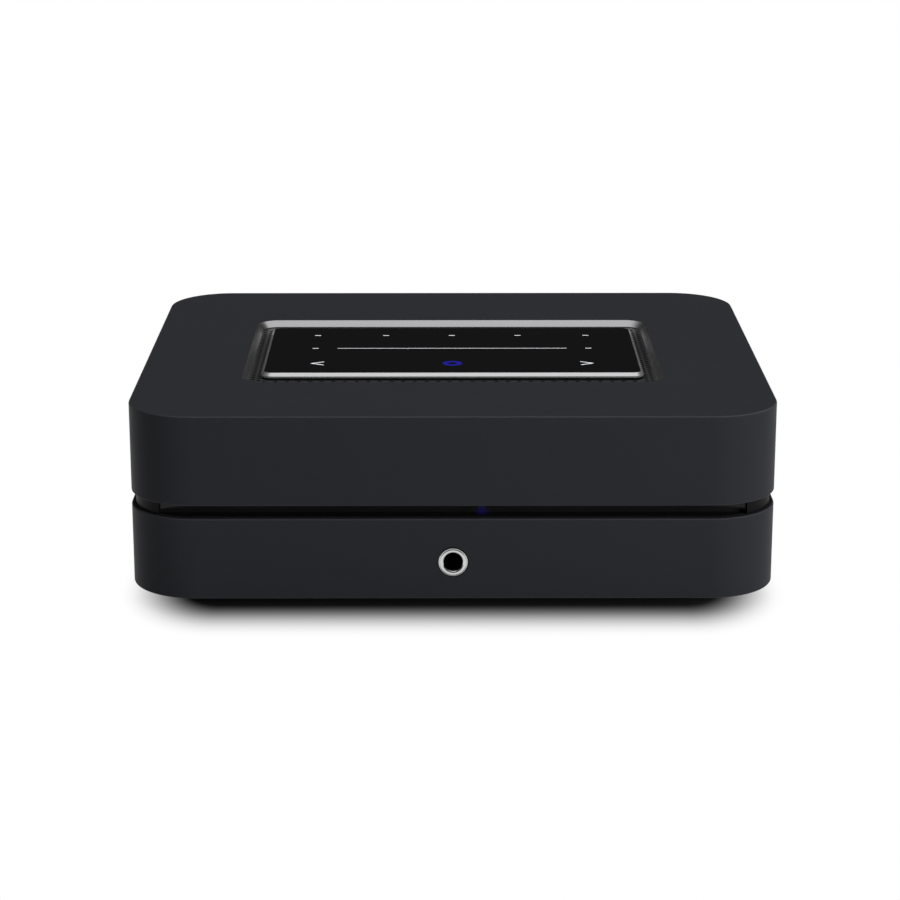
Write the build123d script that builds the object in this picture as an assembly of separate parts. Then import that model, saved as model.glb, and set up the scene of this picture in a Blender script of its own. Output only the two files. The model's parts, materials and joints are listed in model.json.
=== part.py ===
from build123d import *
import os
from math import pi, radians, tan

# A network music player with its own amplifier: two shells with a dark slot between them,
# a touch panel in a moat of perforated metal on top, and a recessed rear panel.
# Lengths are in millimetres. X runs to the right, Y to the back and Z up, and the origin
# is on the floor under the middle of the case.

# Play and overrun
overrun = 1.0
seat_gap = 0.2
turn_gap = 0.06
drop_in_gap = 0.05

# Case
width = 220.0
depth = 190.0
height = 70.0
corner_radius = 23.0
foot_height = 6.3
edge_round = 0.6
side_wall = 3.0
roof_wall = 2.4
floor_wall = 2.5

# Slot between the shells, and the band in it
lower_top = 34.5
slot_gap = 4.6
band_inset = 1.5
tongue_wall = 2.0
tongue_height = 3.0
ledge_width = 4.0
ledge_thickness = 1.5

# Window at the front of the slot
pocket_side = 11.0
pocket_depth = 8.0
cheek_width = 3.0
window_wall = 1.5
window_back_wall = 2.0
light_x = 9.75
light_rise = 1.2
light_radius = 1.0
light_guide_length = 6.0
indicator_board_width = 50.0
indicator_board_height = 12.0
receiver_x = -12.0
receiver_width = 6.0
receiver_height = 4.0
lamp_width = 3.0
lamp_depth = 1.5

# Opening in the top
recess_width = 148.0
recess_depth = 94.7
recess_radius = 8.0
recess_y = -1.25
trim_bevel = 2.2
trim_land = 0.1
grille_thickness = 1.0
grille_margin = 6.0
vent_radius = 0.8
vent_pitch_x = 4.09
vent_pitch_y = 3.0
vent_web = 0.3

# Touch panel
panel_width = 135.6
panel_depth = 71.05
panel_radius = 4.0
bevel_width = 1.0
bevel_height = 1.1
frame_land = 0.1
frame_lip = 0.6
tray_inset = 0.6
tray_wall = 1.5
tray_floor = 1.5
tray_height = 8.3
tray_flange = 4.0
tray_flange_thickness = 1.2
tray_post_radius = 2.5
tray_post_inset = 6.0
mask_thickness = 1.9
mask_fit = 0.3
touch_board_thickness = 1.6
panel_light_size = 2.0
panel_light_height = 0.8
panel_light_well = 2.2

# Marks on the glass, which is drawn from its own middle
mark_depth = 0.15
mark_line = 0.5
preset_dash = 2.2
preset_spread = 50.0
preset_inner_spread = 24.6
preset_row = 22.2
volume_half_length = 42.0
volume_row = 1.9
volume_line = 0.35
arrow_tip = 50.8
arrow_reach = 4.8
arrow_half_height = 2.6
play_row = -20.8
play_radius = 3.5
play_line = 0.8

# Headphone socket
jack_z = 19.3
jack_bore_radius = 3.2
jack_ring_radius = 4.7
jack_flange_radius = 5.0
jack_flange_thickness = 0.6
jack_hole_radius = 5.25
jack_ring_length = 5.0
jack_mouth_bevel = 0.5
jack_body_width = 13.0
jack_body_length = 28.0
jack_bore_depth = 26.0
jack_contact_width = 2.0
jack_contact_thickness = 0.4
jack_contact_dip = 0.1
jack_contact_length = 7.0
jack_contact_pitch = 7.5
jack_contact_start = 9.0
jack_board_width = 24.0
jack_board_length = 30.0
jack_board_screw_x = 9.0
jack_board_screw_y = 3.5

# Bay at the back
surround_side = 24.0
surround_rise = 4.7
surround_drop = 9.0
surround_radius = 3.0
surround_wall = 2.0
bay_depth = 18.0
rear_panel_thickness = 1.5
lug_depth = 6.0
lug_width = 9.0

# Screws
board_screw_radius = 1.2
board_screw_head_radius = 2.3
board_screw_head = 1.6
board_screw_length = 3.4
board_screw_hole = 1.4
pilot_radius = 1.25
pillar_radius = 3.0
case_screw_radius = 1.5
case_screw_head_radius = 2.8
case_screw_head = 2.5
case_screw_hole = 1.7
case_screw_pilot = 1.55
case_screw_seat = 4.0
case_screw_bite = 14.0
counterbore_radius = 3.2
lower_boss_radius = 4.0
upper_boss_radius = 3.5
boss_side = 16.0
boss_end = 25.0
drive_radius = 1.1
drive_depth = 0.8

# Feet and the vents under the case
foot_radius = 9.0
foot_side = 32.0
foot_end = 33.0
foot_seat = 1.0
foot_bevel = 0.8
floor_vent_width = 2.4
floor_vent_length = 24.0
floor_vent_pitch = 6.0
floor_vent_count = 16
front_vent_y = -32.0
rear_vent_y = 27.0
rear_vent_x = 15.0

# Chassis plate
plate_thickness = 2.0
plate_fit = 0.2
lead_slot_width = 14.0
lead_slot_depth = 8.0

# Boards
board_thickness = 1.6
board_stand = 4.0
main_margin = 2.0
main_side = 11.0
main_front_gap = 4.0
main_back_gap = 5.0
main_screw_inset = 5.0
main_screw_back_inset = 20.5
power_side = 24.0
power_front_gap = 37.0
power_depth = 52.0
power_screw_side = 6.0
power_screw_inset = 5.0
amp_side = 30.0
amp_front_gap = 8.0
amp_back_gap = 9.5
amp_stand = 5.0
amp_screw_inset = 6.0

# Rear sockets, which stand at shares of the bay's half width
inlet_share = -0.695
network_share = -0.38
usb_share = -0.15
hdmi_share = 0.12
audio_in_share = 0.34
remote_in_share = 0.49
sub_share = 0.745
socket_proud = 0.5
network_width = 16.0
network_height = 13.4
network_length = 21.0
network_cavity_width = 11.8
network_cavity_height = 7.0
network_cavity_depth = 14.0
network_floor = 4.0
latch_width = 6.2
latch_height = 1.6
latch_key_width = 3.4
latch_key_height = 1.2
network_contact_pitch = 1.02
network_contact_width = 0.45
network_contact_thickness = 0.35
network_contact_count = 8
usb_width = 13.2
usb_height = 5.9
usb_length = 14.0
usb_wall = 0.4
usb_stand = 0.6
usb_tongue_width = 11.1
usb_tongue_height = 1.84
usb_tongue_gap = 0.7
usb_tongue_back = 1.2
hdmi_width = 15.0
hdmi_height = 5.6
hdmi_length = 11.5
hdmi_wall = 0.5
hdmi_stand = 0.5
hdmi_corner = 1.6
hdmi_tongue_width = 11.6
hdmi_tongue_height = 1.0
hdmi_tongue_back = 1.0
socket_back_wall = 1.5
minijack_width = 7.6
minijack_length = 14.0
minijack_nose_radius = 3.2
minijack_bore_radius = 1.8
minijack_bore_depth = 13.0
minijack_z_share = 0.5
sub_width = 10.0
sub_height = 12.0
sub_length = 10.0
sub_shell_radius = 4.15
sub_shell_bore = 3.5
sub_shell_length = 10.0
sub_flange_radius = 5.4
sub_flange_thickness = 1.0
sub_core_length = 7.5
sub_pin_bore = 1.6
sub_pin_depth = 8.0

# Mains inlet
inlet_z = 21.0
inlet_width = 21.0
inlet_height = 12.4
inlet_length = 16.0
inlet_flange_width = 25.0
inlet_flange_height = 15.0
inlet_flange_thickness = 1.5
inlet_flange_radius = 2.0
inlet_cavity_height = 8.0
inlet_cavity_depth = 12.0
inlet_pin_spacing = 8.6
inlet_pin_radius = 1.2
inlet_pin_recess = 1.5
inlet_pin_tail = 3.0

# Binding posts
post_count = 4
post_pitch = 19.05
post_flange_thickness = 2.5
post_flange_margin = 9.0
post_flange_height = 15.0
post_neck_radius = 5.0
stud_radius = 3.0
stud_length = 13.8
stud_tail = 9.0
stud_shoulder_radius = 5.0
stud_shoulder = 1.2
stud_tip_bevel = 0.4
banana_radius = 2.0
banana_depth = 20.0
wire_hole_radius = 1.25
wire_hole_out = 3.8
tab_width = 4.0
tab_thickness = 1.0
tab_length = 6.0
nut_flats = 9.0
nut_height = 2.4
washer_radius = 5.5
washer_thickness = 1.2
cap_radius = 6.5
cap_end_gap = 0.2
cap_end_wall = 1.3
cap_mouth_radius = 2.4
cap_flute_radius = 0.9
cap_flute_count = 12
cap_edge = 0.6

# Parts on the boards
can_side = 55.0
can_row = 29.0
can_width = 40.0
can_depth = 34.0
can_height = 4.0
can_wall = 0.4
chip_height = 1.4
processor_size = 14.0
processor_side = 19.0
processor_row = 26.0
memory_width = 9.0
memory_depth = 12.0
memory_side = 87.0
memory_row = 22.0
converter_size = 7.0
converter_side = 17.0
converter_row = 48.0
amp_chip_size = 14.0
amp_chip_height = 2.5
amp_chip_x = 20.0
connector_width = 14.0
connector_depth = 10.0
connector_height = 6.0
mains_connector_x = -68.0
power_connector_x = -50.0
transformer_x = -16.0
transformer_width = 32.0
transformer_depth = 30.0
transformer_core = 6.0
transformer_height = 20.0
winding_radius = 12.5
can_cap_radius = 6.25
can_cap_height = 19.0
bulk_cap_radius = 8.0
bulk_cap_height = 20.0
cap_bevel = 0.8
bulk_cap_x = 20.0
can_cap_first_x = 40.0
can_cap_pitch = 15.0
choke_x = -52.0
choke_radius = 9.0
choke_bore = 3.5
choke_height = 9.0
output_coil_x = 58.0
output_coil_pitch = 19.0
output_coil_radius = 7.5
output_coil_core = 3.0
output_coil_height = 11.0
output_coil_flange = 2.0
amp_cap_radius = 5.0
amp_cap_height = 12.0
amp_cap_x = 30.0
amp_cap_gap = 11.5
sink_half_width = 45.0
sink_front_gap = 6.0
sink_back_gap = 20.0
sink_base = 3.0
sink_top_gap = 1.9
sink_fin_thickness = 1.4
sink_fin_count = 16

# Ribbons, antennas and leads
ribbon_width = 12.0
ribbon_thickness = 0.3
ribbon_bend = 4.0
ribbon_x = -24.0
ribbon_run = 16.0
ribbon_plug_height = 2.0
ribbon_plug_length = 5.0
ribbon_slot_play = 1.0
antenna_length = 36.0
antenna_height = 9.0
antenna_thickness = 0.8
antenna_y = 8.0
antenna_low = 22.0
antenna_lead_radius = 0.6
lead_radius = 0.9
mains_lead_radius = 1.1
lead_pitch = 3.4
arch_rise = 9.4
arch_reach = 7.0
lead_arc_share = 0.45
mains_run_share = 0.28
antenna_run_shares = (0.14, 0.4, 0.7, 0.88)
antenna_sway_share = 0.1
antenna_drop_share = 0.2

# Places that follow from the sizes
front_y = -depth / 2
back_y = depth / 2
slot_low = lower_top
slot_high = lower_top + slot_gap
light_z = slot_low + light_rise
pocket_half_width = width / 2 - pocket_side
boss_x = width / 2 - boss_side
boss_y = depth / 2 - boss_end
foot_x = width / 2 - foot_side
foot_y = depth / 2 - foot_end
floor_top = foot_height + floor_wall
roof_low = height - roof_wall
grille_low = roof_low - grille_thickness
tongue_inset = side_wall + seat_gap
band_inner = tongue_inset + tongue_wall
plate_low = slot_low + ledge_thickness
plate_top = plate_low + plate_thickness
window_face = front_y + pocket_depth
window_back = window_face + window_back_wall
indicator_face = window_face + light_guide_length + lamp_depth
panel_face = back_y - bay_depth
panel_back = panel_face - rear_panel_thickness
surround_half_width = width / 2 - surround_side
surround_low = foot_height + surround_rise
surround_high = height - surround_drop
bay_middle = (surround_low + surround_high) / 2
inlet_x = surround_half_width * inlet_share
network_x = surround_half_width * network_share
usb_x = surround_half_width * usb_share
hdmi_x = surround_half_width * hdmi_share
audio_in_x = surround_half_width * audio_in_share
remote_in_x = surround_half_width * remote_in_share
sub_x = surround_half_width * sub_share
frame_low = height - bevel_height - frame_lip
glass_low = height - bevel_height
glass_inset = bevel_width + frame_land + drop_in_gap
tray_low = frame_low - tray_height
tray_inner = tray_inset + tray_wall
mask_low = glass_low - mask_thickness
touch_board_low = mask_low - touch_board_thickness
lower_board = floor_top + board_stand
lower_board_top = lower_board + board_thickness
jack_board_low = jack_z - jack_body_width / 2 - board_thickness
jack_board_top = jack_board_low + board_thickness
amp_board = plate_top + amp_stand
amp_board_top = amp_board + board_thickness
post_z = amp_board_top + tab_thickness / 2
housing_face = panel_face + post_flange_thickness
shoulder_face = housing_face + stud_shoulder
washer_face = shoulder_face + washer_thickness
stud_tip = housing_face + stud_length
cap_bore_end = stud_tip + cap_end_gap
cap_tip = cap_bore_end + cap_end_wall
socket_face = panel_face + socket_proud
network_low = lower_board_top
sub_z = lower_board_top + sub_height / 2
minijack_z = lower_board_top + minijack_width * minijack_z_share
power_half_width = width / 2 - power_side
power_front = front_y + power_front_gap
power_back = power_front + power_depth
power_middle = (power_front + power_back) / 2
power_screw_x = power_half_width - power_screw_side
connector_y = power_back - connector_depth / 2
main_left = network_x - network_width / 2 - main_margin
main_right = surround_half_width - main_side
main_front = power_back + main_front_gap
main_back = panel_back - main_back_gap
main_screw_back = main_back - main_screw_back_inset
can_x = main_right - can_side
can_y = main_front + can_row
processor_x = main_right - processor_side
processor_y = main_front + processor_row
memory_x = main_right - memory_side
memory_y = main_front + memory_row
converter_x = main_right - converter_side
converter_y = main_front + converter_row
amp_half_width = width / 2 - amp_side
amp_front = power_back + amp_front_gap
amp_back = panel_back - amp_back_gap
amp_middle = (amp_front + amp_back) / 2
amp_screw_x = amp_half_width - amp_screw_inset
amp_cap_y = amp_back - amp_cap_gap
sink_front = amp_front + sink_front_gap
sink_depth = amp_back - sink_back_gap - sink_front
sink_low = amp_board_top + amp_chip_height
sink_top = tray_low - sink_top_gap
amp_chip_y = sink_front + sink_depth / 2
ribbon_y = amp_front - ribbon_run
arch_height = amp_board_top + arch_rise


def block(x, y, z):
    """A box between a low and a high limit along each axis."""
    middle = [(low + high) / 2 for low, high in (x, y, z)]
    size = [high - low for low, high in (x, y, z)]
    return Pos(*middle) * Box(*size)


def around(middle, size):
    """The low and high limits of a length about its middle."""
    return (middle - size / 2, middle + size / 2)


def upright(sketch, low, high):
    """A sketch pulled up along Z."""
    return extrude(Pos(0, 0, low) * sketch, high - low)


def upright_rod(radius, x, y, low, high):
    return upright(Pos(x, y) * Circle(radius), low, high)


def through(sketch, front, back):
    """A sketch drawn across X and Z, pulled along Y between two places."""
    wall = Plane(origin=(0, back, 0), x_dir=(1, 0, 0), z_dir=(0, -1, 0))
    return extrude(wall * sketch, back - front)


def through_rod(radius, x, z, front, back):
    return through(Pos(x, z) * Circle(radius), front, back)


def case_outline(inset=0.0):
    return RectangleRounded(width - 2 * inset, depth - 2 * inset, corner_radius - inset)


def case_ring(outer, inner, low, high):
    return upright(case_outline(outer) - case_outline(inner), low, high)


def recess_outline(inset=0.0):
    outline = RectangleRounded(recess_width - 2 * inset, recess_depth - 2 * inset, recess_radius - inset)
    return Pos(0, recess_y) * outline


def panel_outline(inset=0.0):
    outline = RectangleRounded(panel_width - 2 * inset, panel_depth - 2 * inset, panel_radius - inset)
    return Pos(0, recess_y) * outline


def surround_outline(inset=0.0):
    """The outline of the rear bay, across X and Z."""
    outline = RectangleRounded(2 * (surround_half_width - inset), surround_high - surround_low - 2 * inset,
                               surround_radius - inset)
    return Pos(0, bay_middle) * outline


def rounded_edges(solid, z, radius):
    """The solid with its edges at one height rounded."""
    return fillet(solid.edges().filter_by_position(Axis.Z, z, z), radius)


def group(solids):
    return Compound(children=list(solids))


def mirrored_pairs(x, y):
    """The four places at plus and minus x and y."""
    return [(side * x, end * y) for side in (-1, 1) for end in (-1, 1)]


def boss_places():
    return mirrored_pairs(boss_x, boss_y)


def main_screws():
    columns = (main_left + main_screw_inset, main_right - main_screw_inset)
    return [(x, y) for x in columns for y in (main_front + main_screw_inset, main_screw_back)]


def power_screws():
    rows = (power_front + power_screw_inset, power_back - power_screw_inset)
    return [(x, y) for x in (-power_screw_x, power_screw_x) for y in rows]


def jack_screws():
    back = front_y + tongue_inset + jack_board_length - jack_board_screw_y
    return [(x, back) for x in (-jack_board_screw_x, jack_board_screw_x)]


def amp_screws():
    rows = (amp_front + amp_screw_inset, amp_back - amp_screw_inset)
    return [(x, y) for x in (-amp_screw_x, amp_screw_x) for y in rows]


def floor_vents():
    """The slots in the floor: one row under the power board, one under the main board."""
    slot = SlotOverall(floor_vent_length, floor_vent_width, rotation=90)
    half_run = floor_vent_pitch * (floor_vent_count - 1) / 2
    vents = Sketch()
    for middle_x, y in ((0, front_vent_y), (rear_vent_x, rear_vent_y)):
        for index in range(floor_vent_count):
            vents += Pos(middle_x - half_run + index * floor_vent_pitch, y) * slot
    return vents


def bottom_shell():
    shell = upright(case_outline(), foot_height, lower_top)
    shell = rounded_edges(shell, lower_top, edge_round)
    shell = rounded_edges(shell, foot_height, edge_round)
    shell -= upright(case_outline(side_wall), floor_top, lower_top + overrun)
    for x, y in boss_places():
        shell += upright_rod(lower_boss_radius, x, y, floor_top, plate_low)
        shell -= upright_rod(case_screw_hole, x, y, foot_height - overrun, plate_low + overrun)
        shell -= upright_rod(counterbore_radius, x, y, foot_height - overrun, foot_height + case_screw_seat)
    for places, top in ((main_screws(), lower_board), (power_screws(), lower_board),
                        (jack_screws(), jack_board_low)):
        for x, y in places:
            shell += upright_rod(pillar_radius, x, y, floor_top, top)
            shell -= upright_rod(pilot_radius, x, y, floor_top, top + overrun)
    for x, y in mirrored_pairs(foot_x, foot_y):
        shell -= upright_rod(foot_radius + seat_gap, x, y, foot_height - overrun, foot_height + foot_seat)
    shell -= upright(floor_vents(), foot_height - overrun, floor_top + overrun)
    shell -= through_rod(jack_hole_radius, 0, jack_z, front_y - overrun, front_y + side_wall + overrun)
    shell -= bay_cut(seat_gap)
    return shell


def bay_cut(play):
    """The room that the rear surround takes, with some play round it."""
    return through(surround_outline(-play), panel_back - lug_depth - play, back_y + overrun)


def top_shell():
    shell = upright(case_outline(), slot_high, height)
    shell = rounded_edges(shell, height, edge_round)
    shell = rounded_edges(shell, slot_high, edge_round / 2)
    shell -= upright(case_outline(side_wall), slot_high - overrun, roof_low)
    for x, y in boss_places():
        shell += upright_rod(upper_boss_radius, x, y, plate_top, roof_low)
        shell -= upright_rod(case_screw_pilot, x, y, plate_top - overrun,
                             plate_top + case_screw_bite + overrun)
    shell -= upright(recess_outline(), roof_low - overrun, height + overrun)
    shell -= bay_cut(seat_gap)
    return shell


def slot_band():
    """The dark band between the shells, with tongues inside both and a ledge for the plate."""
    band = case_ring(band_inset, band_inner, slot_low, slot_high)
    band += case_ring(tongue_inset, band_inner, slot_low - tongue_height, slot_high + tongue_height)
    band += case_ring(tongue_inset, band_inner + ledge_width, slot_low, plate_low)
    band -= block((-pocket_half_width, pocket_half_width), (front_y - overrun, window_back + seat_gap),
                  (slot_low - tongue_height - overrun, slot_high + tongue_height + overrun))
    inside = upright(case_outline(band_inset), slot_low, slot_high)
    for side in (-1, 1):
        x = sorted((side * pocket_half_width, side * (pocket_half_width + cheek_width)))
        band += inside & block(x, (front_y, window_back), (slot_low, slot_high))
    band -= bay_cut(seat_gap)
    return band


def front_window():
    """A channel of glossy black plastic that closes the deep front of the slot."""
    half = pocket_half_width - drop_in_gap
    front = front_y + tongue_inset
    window = block((-half, half), (front, window_back), (slot_low - window_wall, slot_high + window_wall))
    window -= block((-half - overrun, half + overrun), (front - overrun, window_face), (slot_low, slot_high))
    window -= through_rod(light_radius + drop_in_gap, light_x, light_z, window_face - overrun,
                          window_back + overrun)
    return window & upright(case_outline(tongue_inset), slot_low - window_wall, slot_high + window_wall)


def light_guide():
    guide = through_rod(light_radius, light_x, light_z, window_face, window_face + light_guide_length)
    collar = through_rod(2 * light_radius, light_x, light_z, window_back, window_back + light_radius)
    return guide + collar


def indicator_board():
    low = slot_low - window_wall
    return block(around(0, indicator_board_width), (indicator_face, indicator_face + board_thickness),
                 (low, low + indicator_board_height))


def indicator_lights():
    """The status lamp and the remote receiver on their board, and the lamps of the panel."""
    receiver_z = (slot_low + slot_high) / 2
    parts = [block(around(light_x, lamp_width), (window_face + light_guide_length, indicator_face),
                   around(light_z, lamp_width)),
             block(around(receiver_x, receiver_width), (window_back, indicator_face),
                   around(receiver_z, receiver_height))]
    for x, y in mark_lamps():
        parts.append(block(around(x, panel_light_size), around(y, panel_light_size),
                           (mask_low, mask_low + panel_light_height)))
    return group(parts)


def recess_trim():
    """The bright bevel round the opening, down to the grille."""
    edge = drop_in_gap
    trim = upright(recess_outline(edge) - recess_outline(trim_bevel), roof_low, height)
    slope = loft([Pos(0, 0, height - trim_bevel) * recess_outline(trim_bevel + trim_land),
                  Pos(0, 0, height + trim_bevel) * recess_outline(trim_land - trim_bevel)], ruled=True)
    return trim - slope


def vent_places():
    """The middles of the vent holes, in staggered rows that keep inside the moat."""
    column = vent_pitch_x / 2
    row = vent_pitch_y / 2
    rim = trim_bevel + vent_web + vent_radius
    outer_x = recess_width / 2 - rim
    outer_y = recess_depth / 2 - rim
    inner_x = panel_width / 2 - tray_inset + seat_gap + vent_web + vent_radius
    inner_y = panel_depth / 2 - tray_inset + seat_gap + vent_web + vent_radius
    corner = recess_radius - trim_bevel
    places = []
    for i in range(-int(outer_x / column) - 1, int(outer_x / column) + 1):
        for j in range(-int(outer_y / row), int(outer_y / row) + 1):
            x = (i + 1 / 2) * column
            y = j * row
            inside = abs(x) <= outer_x and abs(y) <= outer_y
            beside = abs(x) >= inner_x or abs(y) >= inner_y
            in_corner = abs(x) > outer_x - corner / 2 and abs(y) > outer_y - corner / 2
            if inside and beside and not in_corner and (i + j) % 2 == 0:
                places.append((x, y + recess_y))
    return places


def vent_grille():
    """The perforated plate under the opening: all its holes are cut in one go."""
    plate = recess_outline(-grille_margin) - panel_outline(tray_inset - seat_gap)
    holes = [Pos(x, y) * Circle(vent_radius) for x, y in vent_places()]
    return upright(plate - holes, grille_low, roof_low)


def panel_frame():
    """The bright bevelled frame of the panel, with a lip that the glass rests on."""
    frame = upright(panel_outline(), frame_low, glass_low)
    frame += loft([Pos(0, 0, glass_low) * panel_outline(), Pos(0, 0, height) * panel_outline(bevel_width)],
                  ruled=True)
    frame -= upright(panel_outline(bevel_width + frame_land), glass_low, height + overrun)
    frame -= upright(panel_outline(tray_inner), frame_low - overrun, height + overrun)
    return frame


def tray_posts():
    x = panel_width / 2 - tray_inner - tray_post_inset
    y = panel_depth / 2 - tray_inner - tray_post_inset
    return [(px, py + recess_y) for px, py in mirrored_pairs(x, y)]


def panel_tray():
    """The tub that holds the panel's board, with a flange bonded under the grille."""
    tray = upright(panel_outline(tray_inset), tray_low, frame_low)
    tray -= upright(panel_outline(tray_inner), tray_low + tray_floor, frame_low + overrun)
    tray += upright(panel_outline(-tray_flange) - panel_outline(tray_inner),
                    grille_low - tray_flange_thickness, grille_low)
    for x, y in tray_posts():
        tray += upright_rod(tray_post_radius, x, y, tray_low + tray_floor, touch_board_low)
    tray -= block(around(ribbon_x, ribbon_width + 2 * ribbon_slot_play),
                  around(ribbon_y, ribbon_thickness + 2 * ribbon_slot_play),
                  (tray_low - overrun, tray_low + tray_floor + overrun))
    return tray


def preset_places():
    return [(x, preset_row) for x in (-preset_spread, -preset_inner_spread, 0, preset_inner_spread,
                                      preset_spread)]


def mark_lamps():
    """Where the lamps shine up through the mask, under some of the marks."""
    return [(x, y + recess_y) for x, y in preset_places() + [(0, play_row)]]


def mark_outlines():
    """The marks as outlines, each apart from the others."""
    marks = [Pos(x, y) * Rectangle(preset_dash, mark_line) for x, y in preset_places()]
    marks.append(Pos(0, volume_row) * Rectangle(2 * volume_half_length, volume_line))
    for side in (-1, 1):
        marks.append(Pos(side * preset_spread, volume_row) * Rectangle(preset_dash, mark_line))
        marks.append(Pos(side * arrow_tip, play_row) * arrow(-side))
    return [Pos(0, recess_y) * mark for mark in marks]


def arrow(side):
    """An open arrow head with its point at the origin and its arms to one side."""
    reach = side * arrow_reach
    thick = side * 2 * mark_line
    points = [(0, 0), (reach, arrow_half_height), (reach, arrow_half_height - mark_line), (thick, 0),
              (reach, mark_line - arrow_half_height), (reach, -arrow_half_height)]
    return make_face(Polyline(*points, close=True))


def play_outline():
    return Pos(0, play_row + recess_y) * (Circle(play_radius) - Circle(play_radius - play_line))


def mark_solids():
    return [upright(mark, height - mark_depth, height) for mark in mark_outlines()]


def touch_glass():
    glass = upright(panel_outline(glass_inset), glass_low, height)
    for mark in mark_outlines() + [play_outline()]:
        glass -= upright(mark, height - mark_depth, height + overrun)
    return glass


def touch_marks():
    return group(mark_solids())


def play_ring():
    return upright(play_outline(), height - mark_depth, height)


def light_mask():
    mask = upright(panel_outline(tray_inner + mask_fit), mask_low, glass_low)
    for x, y in mark_lamps():
        mask -= upright_rod(panel_light_well, x, y, mask_low - overrun, glass_low + overrun)
    return mask


def touch_board():
    return upright(panel_outline(tray_inner + mask_fit), touch_board_low, mask_low)


def headphone_ring():
    ring = through_rod(jack_flange_radius, 0, jack_z, front_y, front_y + jack_flange_thickness)
    ring += through_rod(jack_ring_radius, 0, jack_z, front_y, front_y + jack_ring_length)
    ring -= through_rod(jack_bore_radius, 0, jack_z, front_y - overrun, front_y + jack_ring_length + overrun)
    mouth = ring.edges().filter_by(GeomType.CIRCLE).group_by(Axis.Y)[0]
    return chamfer(mouth.sort_by(SortBy.RADIUS)[0], jack_mouth_bevel)


def jack_contact_places():
    start = front_y + side_wall + jack_contact_start
    return [start + index * jack_contact_pitch for index in range(2)]


def headphone_socket():
    front = front_y + side_wall
    body = block(around(0, jack_body_width), (front, front + jack_body_length), around(jack_z, jack_body_width))
    body -= through_rod(jack_bore_radius + drop_in_gap, 0, jack_z, front - overrun, front + jack_bore_depth)
    body -= through_rod(jack_ring_radius + drop_in_gap, 0, jack_z, front - overrun,
                        front_y + jack_ring_length + drop_in_gap)
    for y in jack_contact_places():
        for z in jack_contact_heights():
            body -= block(around(0, jack_contact_width), (y, y + jack_contact_length), z)
    return body


def jack_contact_heights():
    """The rooms of the contact springs, above and below the bore."""
    near = jack_bore_radius - jack_contact_dip
    far = jack_body_width / 2
    return [(jack_z + near, jack_z + far), (jack_z - far, jack_z - near)]


def headphone_contacts():
    """Bent spring strips whose middles dip a little into the bore."""
    near = jack_bore_radius - jack_contact_dip
    far = jack_body_width / 2
    thick = 2 * jack_contact_thickness
    half = (jack_contact_length - seat_gap) / 2
    start = Plane(origin=(seat_gap - jack_contact_width / 2, 0, 0), x_dir=(0, 1, 0), z_dir=(1, 0, 0))
    strips = []
    for y in jack_contact_places():
        middle = y + jack_contact_length / 2
        for side in (-1, 1):
            end = jack_z + side * far
            outline = [(middle - half, end), (middle, jack_z + side * near), (middle + half, end),
                       (middle + half - thick, end), (middle, jack_z + side * (near + thick)),
                       (middle - half + thick, end)]
            face = start * make_face(Polyline(*outline, close=True))
            strips.append(extrude(face, jack_contact_width - 2 * seat_gap))
    return group(strips)


def headphone_board():
    front = front_y + tongue_inset
    board = block(around(0, jack_board_width), (front, front + jack_board_length),
                  (jack_board_low, jack_board_top))
    for x, y in jack_screws():
        board -= upright_rod(board_screw_hole, x, y, jack_board_low - overrun, jack_board_top + overrun)
    return board


def surround_lugs():
    """The lugs behind the rear panel, as pairs of limits across X and Z."""
    side = surround_half_width
    columns = [(-side, -side + lug_width), (side - lug_width, side)]
    rows = [(surround_low, surround_low + lug_width), (surround_high - lug_width, surround_high)]
    return [(x, z) for x in columns for z in rows] + [(around(0, lug_width), rows[1])]


def panel_screw_places():
    reach = (lug_width + surround_wall) / 2
    places = [(x, z) for x in (-surround_half_width + reach, surround_half_width - reach)
              for z in (surround_low + reach, surround_high - reach)]
    return places + [(0, surround_high - reach)]


def rear_surround():
    surround = through(surround_outline() - surround_outline(surround_wall), panel_back, back_y)
    inside = through(surround_outline(), panel_back - lug_depth, panel_back)
    for x, z in surround_lugs():
        surround += inside & block(x, (panel_back - lug_depth, panel_back), z)
    for x, z in panel_screw_places():
        surround -= through_rod(pilot_radius, x, z, panel_back - lug_depth + overrun, panel_back + overrun)
    return surround


def rear_panel():
    face = surround_outline(surround_wall + seat_gap)
    panel = through(face, panel_back, panel_face)
    cut = (panel_back - overrun, panel_face + overrun)
    for x, z in panel_screw_places():
        panel -= through_rod(board_screw_hole, x, z, *cut)
    panel -= block(around(inlet_x, inlet_width + 2 * seat_gap), cut,
                   around(inlet_z, inlet_height + 2 * seat_gap))
    for x, wide, low, tall in ((network_x, network_width, network_low, network_height),
                               (usb_x, usb_width, lower_board_top + usb_stand, usb_height),
                               (hdmi_x, hdmi_width, lower_board_top + hdmi_stand, hdmi_height)):
        panel -= block(around(x, wide + 2 * seat_gap), cut, (low - seat_gap, low + tall + seat_gap))
    for x in (audio_in_x, remote_in_x):
        panel -= through_rod(minijack_nose_radius + seat_gap, x, minijack_z, *cut)
    panel -= through_rod(sub_shell_bore, sub_x, sub_z, *cut)
    for x in post_places():
        panel -= through_rod(post_neck_radius + seat_gap, x, post_z, *cut)
    return panel


def inlet_outline(play=0.0):
    spacing = inlet_pin_spacing
    return Pos(inlet_x, inlet_z) * SlotCenterToCenter(spacing, inlet_cavity_height + 2 * play)


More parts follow.
